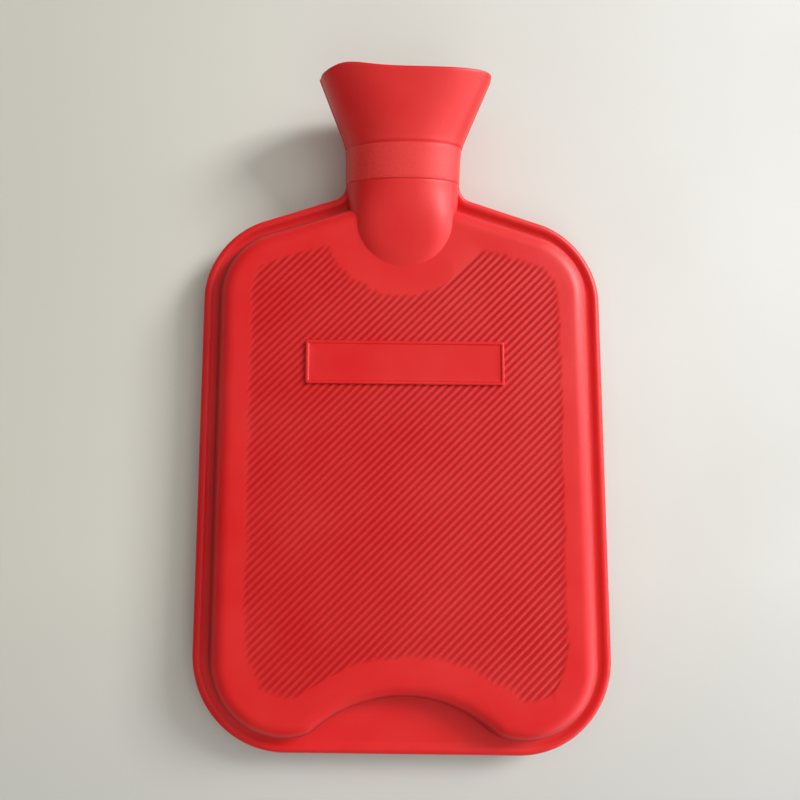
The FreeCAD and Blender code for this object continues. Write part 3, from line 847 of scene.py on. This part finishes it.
def collar_and_funnel(neck, angles):
    """Rings over the collar band, with a fine groove at each end, and up the funnel to the start of the lip.
    Each row has its place along the neck and how far it stands out."""
    low = neck.collar_start
    high = low + neck.collar_length
    rise, line, rest = neck.collar_rise, -neck.collar_line, 0.0001
    edge = rise * 0.7
    collar_rings, funnel_rings = 9, 24
    low_end = ((-0.0014, 0), (-0.0008, 0), (-0.0004, line), (-0.0001, line), (0.0002, edge), (0.0006, rise))
    high_end = (
        (-0.0006, rise), (-0.0002, edge), (0.0001, line), (0.0004, line), (0.0008, rest), (0.0018, rest),
        (0.0028, 0),
    )
    rows = [(low + step, grow) for step, grow in low_end]
    rows += [(along, rise) for along in np.linspace(low + 0.002, high - 0.002, collar_rings)]
    rows += [(high + step, grow) for step, grow in high_end]
    lip_start = neck.mouth - neck.funnel_wall / 2 - 0.001
    rows += [(along, 0.0) for along in np.linspace(high + 0.0042, lip_start, funnel_rings)]
    rings = []
    for along, grow in rows:
        x, height = neck_section(neck, angles, np.full(len(angles), along), grow)
        rings.append(neck_axis_point(neck, x, height, along - mouth_dip(neck, angles, along)))
    return rings


def mouth_dip(neck, angles, along):
    """How far a ring dips: most in the middle of the front, and behind by as much as the lip would pass the
    bottle's end, less a bell curve where the lip is pushed up, and all of it fading down the funnel."""
    lift_angle, lift_width, fade = 2.24, 0.40, 0.020
    lift = neck.mouth_lift * np.exp(-((angles - lift_angle) / lift_width) ** 2)
    height = neck_section(neck, angles, np.full(len(angles), neck.mouth), 0.0)[1]
    past_end = neck_axis_point(neck, 0.0, height, neck.mouth)[:, 1] - BOTTLE_HIGH.y
    dip = np.maximum(neck.mouth_dip * np.sin(angles) ** 2, past_end / math.cos(neck.angle))
    return (dip - lift) * smooth_step((along - neck.mouth + fade) / fade)


def lip_and_inside(neck, angles):
    """Round lip, then the inside of the funnel, which turns from the mouth's section into a round floor."""
    half_wall = neck.funnel_wall / 2
    floor_radius, turning = 0.0155, 0.020
    lip_rings, inside_rings, below_lip = 9, 20, 0.002
    rings = []
    for turn in np.linspace(0, math.pi, lip_rings):
        along = neck.mouth - half_wall + half_wall * math.sin(turn)
        grow = -half_wall + half_wall * math.cos(turn)
        x, height = neck_section(neck, angles, np.full(len(angles), along), grow)
        rings.append(neck_axis_point(neck, x, height, along - mouth_dip(neck, angles, neck.mouth)))
    round_x, round_height = floor_radius * np.cos(angles), floor_radius * np.sin(angles)
    for along in np.linspace(neck.mouth - half_wall - below_lip, neck.seat, inside_rings):
        x, height = neck_section(neck, angles, np.full(len(angles), along), -neck.funnel_wall)
        part = smooth_step((along - neck.seat) / turning)
        x = round_x + (x - round_x) * part
        height = round_height + (height - round_height) * part
        rings.append(neck_axis_point(neck, x, height, along - mouth_dip(neck, angles, along)))
    return rings


def socket_pocket(neck, closure, angles):
    """Pocket in the rubber for the socket: under its rim, then down past its rings to its foot."""
    room = 0.00006
    rim, under = closure.rim_radius + room, neck.seat - closure.rim_thickness - room
    ring, foot = closure.socket_radius + closure.ring_rise + room, neck.seat - closure.socket_length - room
    rings = []
    for radius, along in ((rim, neck.seat), (rim, under), (ring, under), (ring, foot)):
        rings.append(neck_axis_point(neck, radius * np.cos(angles), radius * np.sin(angles), along))
    return rings


def bottle_neck(neck, closure):
    """Neck as one closed tube: tongue, collar, funnel, lip, the funnel's inside and the socket's pocket. A
    soft floor holds its back just over the surface on which the bottle lies."""
    over_floor = 0.0004
    band_start, band_rings = 4, 12
    angles = neck_angles()
    tongue, front = tongue_rings(neck, angles)
    skirt = tongue_skirt(neck, tongue[0], angles, front)
    outside = collar_and_funnel(neck, angles)
    inside = lip_and_inside(neck, angles) + socket_pocket(neck, closure, angles)
    rings = np.stack(skirt + tongue + outside + inside)
    outer = len(skirt) + len(tongue) + len(outside)
    back = angles > math.pi
    rings[:outer, back, 2] = over_floor + soft_plus(rings[:outer, back, 2] - over_floor, over_floor)
    band = np.zeros(rings.shape[:2])
    first = len(skirt) + len(tongue) + band_start
    band[first:first + band_rings] = 1
    both_ends = [0, 0]
    return ring_piece("bottle_neck", rings, attributes={"band": np.concatenate([band.ravel(), both_ends])})


def rounded_rectangle(half_width, half_height, radius, count):
    """Counter-clockwise outline: straight sides joined by quarter circles of the radius."""
    corner = np.arange(count) / (count - 1)
    parts = []
    centres = ((1, -1), (1, 1), (-1, 1), (-1, -1))
    for step, (side, end) in enumerate(centres):
        centre = (side * (half_width - radius), end * (half_height - radius))
        parts.append(circle_points(centre, radius, (step - 1) * QUARTER, step * QUARTER, corner))
    return np.concatenate(parts)


def bare_plate():
    """Bare raised plate: rounded rectangles drawn in step by step, up its edge, over its border and inside.
    Each step has how far it is drawn in and its height over the border's top."""
    half_width, half_height, corner, least_corner = 0.0475, 0.0105, 0.0012, 0.0003
    centre, rise = 0.1838, 0.0013
    steps = (
        (0.0, -0.0023), (0.0, -0.0003), (0.0001, -0.0001), (0.00035, 0.0), (0.0012, 0.0), (0.00145, -0.0001),
        (0.0016, -0.00045), (0.0019, -0.0005), (0.0060, -0.0005),
    )
    rings = []
    for inset, down in steps:
        radius = max(corner - inset, least_corner)
        plan = rounded_rectangle(half_width - inset, half_height - inset, radius, 7)
        plan += np.array([0, centre + BOTTOM_EDGE])
        rings.append(np.column_stack([plan, np.full(len(plan), 2 * HALF_DEPTH + rise + down)]))
    return ring_piece("bottle_plate", np.stack(rings), flip=True)


# Angles round the turned pieces, and the length over which a thread fades at its ends
TURN_STEPS = 112
TURN_ANGLES = np.arange(TURN_STEPS) * (2 * math.pi / TURN_STEPS)
THREAD_RUN_OUT = 0.0018


def turned_ring(neck, radius, along):
    """Ring about the neck's axis; its angles run counter-clockwise as seen from the mouth."""
    return neck_axis_point(neck, radius * np.cos(TURN_ANGLES), -radius * np.sin(TURN_ANGLES), along)


def softened(corners, sizes, closed):
    """Profile with each corner rounded: two points on each side of it and one cut back between them."""
    corners = [np.array(corner) for corner in corners]
    points = []
    for step, (corner, size) in enumerate(zip(corners, sizes)):
        if not closed and step in (0, len(corners) - 1):
            points.append([corner])
            continue
        before = corners[step - 1] - corner
        after = corners[(step + 1) % len(corners)] - corner
        before = before / np.hypot(*before) * size
        after = after / np.hypot(*after) * size
        bend = [corner + before * (1 - math.sin(turn)) + after * (1 - math.cos(turn))
                for turn in np.linspace(0, QUARTER, 5)]
        points.append([corner + before * 2] + bend + [corner + after * 2])
    return points


def thread_share(closure, along, low, high, inward=False):
    """Share of the thread's height round a ring: a ridge with a flat crest on a right-hand helix, or inward
    the ridge between its turns. Both fade to nothing at the thread's ends."""
    phase = (along / closure.thread_lead - TURN_ANGLES / (2 * math.pi)) % 1
    from_crest = np.abs(phase - 0.5) * closure.thread_lead
    share = smooth_step((closure.thread_crest + closure.thread_flank - from_crest) / closure.thread_flank)
    fade = smooth_step((high - along) / THREAD_RUN_OUT) * smooth_step((along - low) / THREAD_RUN_OUT)
    return fade * (1 - share if inward else share)


def socket_piece(neck, closure):
    """Socket: threaded bore, foot, outside with grip rings and rim, turned as one closed loop."""
    seat, foot = neck.seat, neck.seat - closure.socket_length
    radius, ring = closure.socket_radius, closure.socket_radius + closure.ring_rise
    under = seat - closure.rim_thickness
    ring_count, softening = 3, 0.00025
    thread_margin, row_margin, thread_rows = 0.001, 0.0008, 78
    gap = (under - foot - ring_count * closure.ring_height) / (ring_count + 1)
    corners = [(closure.bore, seat), (closure.bore, foot), (radius, foot)]
    along = foot
    for _ in range(ring_count):
        along += gap
        corners += [(radius, along), (ring, along)]
        along += closure.ring_height
        corners += [(ring, along), (radius, along)]
    corners += [(radius, under), (closure.rim_radius, under), (closure.rim_radius, seat)]
    groups = softened(corners, [softening] * len(corners), True)
    rings = [turned_ring(neck, *point) for point in groups[0]]
    for along in np.linspace(seat - row_margin, foot + row_margin, thread_rows):
        share = thread_share(closure, along, foot + thread_margin, seat - thread_margin, inward=True)
        rings.append(turned_ring(neck, closure.bore - closure.thread_height * share, along))
    rings += [turned_ring(neck, *point) for group in groups[1:] for point in group]
    return ring_piece("socket_turned", np.stack(rings), caps=False, flip=True)


def washer_piece(neck, closure):
    """Washer: a ring of rounded square section over the seat."""
    low = neck.seat + closure.washer_play
    high = low + closure.washer_thickness
    inner, outer = closure.washer_bore, closure.washer_radius
    corners = [(inner, high), (inner, low), (outer, low), (outer, high)]
    groups = softened(corners, [0.0004] * 4, True)
    rings = [turned_ring(neck, *point) for group in groups for point in group]
    return ring_piece("washer_ring", np.stack(rings), caps=False, flip=True)


def disc_foot(neck, closure):
    """Under side of the stopper's disc: the seat, the washer and its play on both sides."""
    return neck.seat + closure.washer_thickness + 2 * closure.washer_play


def stopper_turned_piece(neck, closure):
    """Stopper's turned part: hollow threaded plug, shank and sealing disc."""
    foot = neck.seat - closure.plug_length
    under = disc_foot(neck, closure)
    top = under + closure.disc_thickness
    roof = neck.seat - closure.core_roof
    hole = 0.0005
    thread_ends = (foot + 0.0008, neck.seat - 0.0006)
    thread_rows = 56
    corners = [
        (hole, roof), (closure.core_radius, roof), (closure.core_radius, foot), (closure.plug_radius, foot),
        (closure.plug_radius, under), (closure.disc_radius, under), (closure.disc_radius, top), (hole, top),
    ]
    groups = softened(corners, [0, 0.0005, 0.0003, 0.0004, 0.00025, 0.0007, 0.0009, 0], False)
    rings = [turned_ring(neck, *point) for group in groups[:4] for point in group]
    for along in np.linspace(foot + 0.0011, neck.seat - 0.0004, thread_rows):
        share = thread_share(closure, along, *thread_ends)
        rings.append(turned_ring(neck, closure.plug_radius + closure.thread_height * share, along))
    rings += [turned_ring(neck, *point) for group in groups[4:] for point in group]
    return ring_piece("stopper_turned", np.stack(rings), flip=True)


def stopper_grip_piece(neck, closure):
    """Wing grip: an upright plate with round upper corners and rolled edges, built up through its thickness.
    Each row has how far the outline is drawn in and its height over the grip's middle plane."""
    edge, corner = closure.grip_edge, closure.grip_corner
    middle = disc_foot(neck, closure) + closure.disc_thickness / 2
    top = disc_foot(neck, closure) + closure.disc_thickness + closure.grip_height
    flat = closure.grip_thickness / 2 - edge
    mirror = np.array([-1, 1])
    face = [edge + 0.004, edge + 0.0008]
    turns = np.linspace(-QUARTER, QUARTER, 15)
    rows = [(inset, -flat - edge) for inset in face]
    for turn in turns:
        rows.append((edge * (1 - math.cos(turn)), math.copysign(flat, turn) + edge * math.sin(turn)))
    rows += [(inset, flat + edge) for inset in face[::-1]]
    rings = []
    for inset, height in rows:
        half, high, radius = closure.grip_half_width - inset, top - inset, corner - inset
        side = line_points([half, middle], [half, high - radius], np.linspace(0, 0.9, 6))
        upper = circle_points((half - radius, high - radius), radius, 0, QUARTER, np.linspace(0, 1, 15))
        plan = np.concatenate([side, upper, upper[::-1] * mirror, side[::-1] * mirror])
        rings.append(neck_axis_point(neck, plan[:, 0], height, plan[:, 1]))
    return ring_piece("stopper_grip", np.stack(rings), flip=True)


def node_group(name, inputs, outputs):
    """Shader group with number sockets, and its own input and output nodes."""
    group = bpy.data.node_groups.new(name, "ShaderNodeTree")
    for label, default in inputs:
        socket = group.interface.new_socket(name=label, in_out="INPUT", socket_type="NodeSocketFloat")
        socket.default_value = default
    for label in outputs:
        group.interface.new_socket(name=label, in_out="OUTPUT", socket_type="NodeSocketFloat")
    return group, group.nodes.new("NodeGroupInput"), group.nodes.new("NodeGroupOutput")


def moulded_surface_group():
    """Marks of moulding: a fine grain and broad soft blotches, both from noise in Object coordinates."""
    group, inputs, outputs = node_group(
        "moulded_surface", [("Grain size", 900.0), ("Blotch size", 26.0)], ["Grain", "Blotches"])
    nodes, links = group.nodes, group.links
    place = nodes.new("ShaderNodeTexCoord")
    for label, detail, output in (("Grain size", 3.0, "Grain"), ("Blotch size", 4.0, "Blotches")):
        noise = nodes.new("ShaderNodeTexNoise")
        noise.inputs["Detail"].default_value = detail
        links.new(place.outputs["Object"], noise.inputs["Vector"])
        links.new(inputs.outputs[label], noise.inputs["Scale"])
        links.new(noise.outputs["Fac"], outputs.inputs[output])
    return group


def mixed(nodes, links, first, second, factor):
    """Colour between two: first where the factor is 0, second where it is 1."""
    mix = nodes.new("ShaderNodeMix")
    mix.data_type = "RGBA"
    for socket, value in (("A", first), ("B", second)):
        target = [i for i in mix.inputs if i.name == socket and i.type == "RGBA"][0]
        if isinstance(value, bpy.types.NodeSocket):
            links.new(value, target)
        else:
            target.default_value = (*value, 1)
    links.new(factor, mix.inputs[0])
    return [o for o in mix.outputs if o.type == "RGBA"][0]


def ranged(nodes, links, value, low, high, to_low, to_high):
    """Value carried evenly from one range to another and held at its ends."""
    node = nodes.new("ShaderNodeMapRange")
    for label, number in (("From Min", low), ("From Max", high), ("To Min", to_low), ("To Max", to_high)):
        node.inputs[label].default_value = number
    links.new(value, node.inputs["Value"])
    return node.outputs["Result"]


def combined(nodes, links, operation, first, second):
    """Two values put together by one Math node."""
    node = nodes.new("ShaderNodeMath")
    node.operation = operation
    links.new(first, node.inputs[0])
    links.new(second, node.inputs[1])
    return node.outputs[0]


def mask(nodes, name):
    """Values that the mesh holds on its corners, from 0 to 1."""
    layer = nodes.new("ShaderNodeAttribute")
    layer.attribute_name = name
    return layer.outputs["Fac"]


def new_material(name, grain, blotch):
    """Material with the moulded surface's grain and blotches at their sizes, and its shader."""
    material = bpy.data.materials.new(name)
    material.use_nodes = True
    nodes, links = material.node_tree.nodes, material.node_tree.links
    surface = nodes.new("ShaderNodeGroup")
    surface.node_tree = bpy.data.node_groups.get("moulded_surface") or moulded_surface_group()
    surface.inputs["Grain size"].default_value = grain
    surface.inputs["Blotch size"].default_value = blotch
    return material, nodes, links, surface, nodes["Principled BSDF"]


def grain_bump(nodes, links, surface, shader, strength, distance):
    """Fine bumps where the grain is."""
    bump = nodes.new("ShaderNodeBump")
    bump.inputs["Strength"].default_value = strength
    bump.inputs["Distance"].default_value = distance
    links.new(surface.outputs["Grain"], bump.inputs["Height"])
    links.new(bump.outputs["Normal"], shader.inputs["Normal"])


def rubber_material(colours, name, bloom=(0.0, 0.22), band=False, groove_and_recess_shade=False):
    """Satin red rubber: blotches of paler bloom and a fine grain. A collar band is drier. With the groove and
    recess masks, the grooves and the recess at the roll's foot get painted shade, the recess also more matt
    rubber."""
    material, nodes, links, surface, shader = new_material(name, 1400.0, 30.0)
    blotches = ranged(nodes, links, surface.outputs["Blotches"], 0.35, 0.75, *bloom)
    colour = mixed(nodes, links, colours.rubber, colours.bloom, blotches)
    roughness = ranged(nodes, links, surface.outputs["Blotches"], 0.3, 0.7, 0.36, 0.44)
    if band:
        dry = ranged(nodes, links, surface.outputs["Grain"], 0.35, 0.65, 0.25, 0.75)
        dry = combined(nodes, links, "MULTIPLY", dry, mask(nodes, "band"))
        colour = mixed(nodes, links, colour, colours.bloom, dry)
    if groove_and_recess_shade:
        groove, recess = mask(nodes, "groove"), mask(nodes, "recess")
        # Painted shade: the grooves and the recess are mixed towards the groove colour
        for value in (groove, recess):
            depth = ranged(nodes, links, value, 0.0, 1.0, 0.0, 0.5)
            colour = mixed(nodes, links, colour, colours.groove, depth)
        matt = ranged(nodes, links, recess, 0.0, 1.0, 0.36, 0.85)
        roughness = combined(nodes, links, "MAXIMUM", matt, roughness)
    links.new(colour, shader.inputs["Base Color"])
    links.new(roughness, shader.inputs["Roughness"])
    shader.inputs["Specular IOR Level"].default_value = 0.32
    grain_bump(nodes, links, surface, shader, 0.25, 0.00012)
    return material


def plain_moulded_material(name, colour, roughness, grain):
    """Moulded plastic or sealing rubber: one colour a little uneven, with a fine grain in the gloss."""
    material, nodes, links, surface, shader = new_material(name, grain, 90.0)
    colour = tuple(colour)
    paler = tuple(min(1.0, channel * 1.35 + 0.004) for channel in colour)
    blotches = ranged(nodes, links, surface.outputs["Blotches"], 0.35, 0.7, 0.0, 0.5)
    uneven = ranged(nodes, links, surface.outputs["Grain"], 0.3, 0.7, roughness * 0.85, roughness * 1.15)
    links.new(mixed(nodes, links, colour, paler, blotches), shader.inputs["Base Color"])
    links.new(uneven, shader.inputs["Roughness"])
    grain_bump(nodes, links, surface, shader, 0.2, 0.00008)
    return material


def dress(piece, material, body, slot, *nodes):
    """Gives a piece its material and the body it rides on, and hides the nodes it stands for; the slot is not
    used.
    """
    piece.data.materials.append(material)
    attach(piece, body)
    if nodes:
        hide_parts(*nodes)


class HWB_OT_body(bpy.types.Operator):
    """Make the ribbed body with its rolled edge and beaded flange"""

    bl_idname = "hot_water_bottle.body"
    bl_label = "Body"

    def execute(self, context):
        scene = context.scene
        piece = bottle_body(scene.bottle_sizes, scene.neck_sizes)
        material = rubber_material(scene.finish_colours, "body_rubber", groove_and_recess_shade=True)
        dress(piece, material, "bottle", "bottle_rubber", "rubber_bottle")
        return {"FINISHED"}


class HWB_OT_neck(bpy.types.Operator):
    """Make the tongue, collar and funnel"""

    bl_idname = "hot_water_bottle.neck"
    bl_label = "Neck"

    def execute(self, context):
        scene = context.scene
        piece = bottle_neck(scene.neck_sizes, scene.closure_sizes)
        material = rubber_material(scene.finish_colours, "neck_rubber", bloom=(0.12, 0.45), band=True)
        dress(piece, material, "bottle", "bottle_rubber")
        return {"FINISHED"}


class HWB_OT_plate(bpy.types.Operator):
    """Make the bare raised plate"""

    bl_idname = "hot_water_bottle.plate"
    bl_label = "Plate"

    def execute(self, context):
        scene = context.scene
        piece = bare_plate()
        material = rubber_material(scene.finish_colours, "plate_rubber")
        dress(piece, material, "bottle", "bottle_rubber")
        return {"FINISHED"}


class HWB_OT_closure(bpy.types.Operator):
    """Make the threaded socket, the washer and the screw stopper"""

    bl_idname = "hot_water_bottle.closure"
    bl_label = "Closure"

    def execute(self, context):
        scene = context.scene
        colours, neck, closure = scene.finish_colours, scene.neck_sizes, scene.closure_sizes
        socket = plain_moulded_material("socket_ivory", colours.socket, roughness=0.42, grain=1500.0)
        washer = plain_moulded_material("washer_black", colours.washer, roughness=0.6, grain=1800.0)
        stopper = plain_moulded_material("stopper_black", colours.stopper, roughness=0.28, grain=1200.0)
        dress(socket_piece(neck, closure), socket, "bottle", "socket_plastic", "neck_socket")
        dress(washer_piece(neck, closure), washer, "washer", "washer_rubber", "sealing_washer")
        dress(stopper_turned_piece(neck, closure), stopper, "stopper", "stopper_plastic", "screw_stopper")
        dress(stopper_grip_piece(neck, closure), stopper, "stopper", "stopper_plastic")
        return {"FINISHED"}


def floor_material(colours):
    """Matt pale surface, a little uneven, with painted light that makes it lighter to the right and painted
    shade that makes it darker and cooler below the bottle.
    """
    material, nodes, links, surface, shader = new_material("floor_paint", 900.0, 4.0)
    left, right = -0.20, 0.20
    shade_start, shade_end, shade_most = -0.08, -0.26, 0.8
    place = nodes.new("ShaderNodeTexCoord")
    split = nodes.new("ShaderNodeSeparateXYZ")
    links.new(place.outputs["Object"], split.inputs[0])
    across = ranged(nodes, links, split.outputs["X"], left, right, 0.0, 1.0)
    # Painted light to the right and painted shade below the bottle
    below = ranged(nodes, links, split.outputs["Y"], shade_start, shade_end, 0.0, shade_most)
    plain = mixed(nodes, links, colours.floor, colours.floor_painted_light, across)
    plain = mixed(nodes, links, plain, colours.floor_painted_shade, below)
    darker = tuple(channel * 0.93 for channel in colours.floor)
    uneven = ranged(nodes, links, surface.outputs["Blotches"], 0.3, 0.7, 0.0, 0.4)
    links.new(mixed(nodes, links, plain, darker, uneven), shader.inputs["Base Color"])
    shader.inputs["Roughness"].default_value = 0.7
    shader.inputs["Specular IOR Level"].default_value = 0.2
    return material


def add_floor(colours):
    """Flat square floor at the height of the back panel."""
    half = 1.5
    corners = np.array([[-half, -half, 0], [half, -half, 0], [half, half, 0], [-half, half, 0]])
    floor = make_piece("floor", corners, [np.array([[0, 1, 2, 3]])])
    floor.data.materials.append(floor_material(colours))


def add_room(strength, bright_wall, to_camera):
    """Even light from the room. The camera sees it plain and pale, and gloss sees it dark with a bright wall
    towards +X."""
    wall_start, wall_end = 0.35, 0.85
    world = bpy.data.worlds.new("room")
    world.use_nodes = True
    nodes, links = world.node_tree.nodes, world.node_tree.links
    background = nodes["Background"]
    background.inputs["Color"].default_value = (0.95, 0.97, 1.0, 1)
    direction = nodes.new("ShaderNodeTexCoord")
    split = nodes.new("ShaderNodeSeparateXYZ")
    links.new(direction.outputs["Generated"], split.inputs[0])
    path = nodes.new("ShaderNodeLightPath")
    in_gloss = ranged(nodes, links, split.outputs["X"], wall_start, wall_end, 0.0, bright_wall)
    chosen = nodes.new("ShaderNodeMapRange")
    chosen.inputs["To Min"].default_value = strength
    links.new(in_gloss, chosen.inputs["To Max"])
    links.new(path.outputs["Is Glossy Ray"], chosen.inputs["Value"])
    seen = nodes.new("ShaderNodeMapRange")
    seen.inputs["To Max"].default_value = to_camera
    links.new(chosen.outputs["Result"], seen.inputs["To Min"])
    links.new(path.outputs["Is Camera Ray"], seen.inputs["Value"])
    links.new(seen.outputs["Result"], background.inputs["Strength"])
    bpy.context.scene.world = world


def add_lamp(name, place, side, watts, colour, aim=(0, 0, 0), in_gloss=True):
    """Square lamp of the given side that faces the point at which it aims."""
    light = bpy.data.lights.new(name, "AREA")
    light.shape = "SQUARE"
    light.size = side
    light.energy = watts
    light.color = colour
    lamp = bpy.data.objects.new(name, light)
    lamp.location = place
    lamp.visible_glossy = in_gloss
    lamp.rotation_euler = (Vector(aim) - Vector(place)).to_track_quat("-Z", "Y").to_euler()
    bpy.context.scene.collection.objects.link(lamp)


def add_camera():
    """Camera over the bottle, at the photograph's height and tilt, with a lens for a 36 mm wide frame."""
    focal_pixels, picture_pixels, sensor_mm = 647.0, 800.0, 36.0
    height = 0.336
    tilt = math.radians(6.32)
    foot = (-0.035, -0.0324)
    above_seam = height - HALF_DEPTH
    right_of_middle = 0.8
    turn = 0.0115
    data = bpy.data.cameras.new("camera")
    data.sensor_width = sensor_mm
    data.lens = focal_pixels / picture_pixels * sensor_mm
    data.shift_x = -foot[0] / above_seam * focal_pixels / picture_pixels - right_of_middle / picture_pixels
    data.clip_start = 0.01
    camera = bpy.data.objects.new("camera", data)
    camera.location = (foot[0], foot[1], height)
    camera.rotation_euler = (tilt, 0, turn)
    bpy.context.scene.collection.objects.link(camera)
    bpy.context.scene.camera = camera


class HWB_OT_stage(bpy.types.Operator):
    """Lay the pale floor, hang the lamps and set the camera"""

    bl_idname = "hot_water_bottle.stage"
    bl_label = "Stage"

    def execute(self, context):
        scene = context.scene
        add_floor(scene.finish_colours)
        add_lamp("window", (1.87, 1.08, 1.45), side=0.85, watts=55.0, colour=(1.0, 0.99, 0.98))
        add_lamp("sky", (0, 0, 2.2), side=4.0, watts=28.0, colour=(1.0, 0.94, 0.85), in_gloss=False)
        add_lamp("ceiling", (0.75, 0.35, 1.40), side=0.9, watts=4.0, colour=(1.0, 0.99, 0.97), in_gloss=False)
        add_lamp(
            "reflector", (0.30, -1.70, 1.30), side=1.4, watts=9.0, colour=(1.0, 0.98, 0.96), aim=(0, 0.1, 0),
            in_gloss=False)
        add_room(strength=0.11, bright_wall=6.0, to_camera=0.85)
        scene.view_settings.view_transform = "Standard"
        add_camera()
        return {"FINISHED"}


class HWB_PT_panel(bpy.types.Panel):
    """Buttons and sizes for the hot water bottle"""

    bl_idname = "HWB_PT_panel"
    bl_label = "Hot Water Bottle"
    bl_space_type = "VIEW_3D"
    bl_region_type = "UI"
    bl_category = "Hot Water Bottle"

    def draw(self, context):
        for operator in OPERATORS:
            self.layout.operator(operator.bl_idname)
        scene = context.scene
        for group in (scene.bottle_sizes, scene.neck_sizes, scene.closure_sizes, scene.finish_colours):
            box = self.layout.box()
            for name in group.__annotations__:
                box.prop(group, name)


OPERATORS = (HWB_OT_body, HWB_OT_neck, HWB_OT_plate, HWB_OT_closure, HWB_OT_stage)
CLASSES = (BottleSizes, NeckSizes, ClosureSizes, FinishColours, *OPERATORS, HWB_PT_panel)


def register():
    for item in CLASSES:
        bpy.utils.register_class(item)
    bpy.types.Scene.bottle_sizes = bpy.props.PointerProperty(type=BottleSizes)
    bpy.types.Scene.neck_sizes = bpy.props.PointerProperty(type=NeckSizes)
    bpy.types.Scene.closure_sizes = bpy.props.PointerProperty(type=ClosureSizes)
    bpy.types.Scene.finish_colours = bpy.props.PointerProperty(type=FinishColours)


def unregister():
    for name in ("bottle_sizes", "neck_sizes", "closure_sizes", "finish_colours"):
        delattr(bpy.types.Scene, name)
    for item in reversed(CLASSES):
        bpy.utils.unregister_class(item)


def main():
    """Registers the classes and makes every piece and the stage."""
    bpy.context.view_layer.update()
    register()
    bpy.ops.hot_water_bottle.body()
    bpy.ops.hot_water_bottle.neck()
    bpy.ops.hot_water_bottle.plate()
    bpy.ops.hot_water_bottle.closure()
    bpy.ops.hot_water_bottle.stage()
    bpy.context.view_layer.update()


if __name__ == "__main__":
    main()
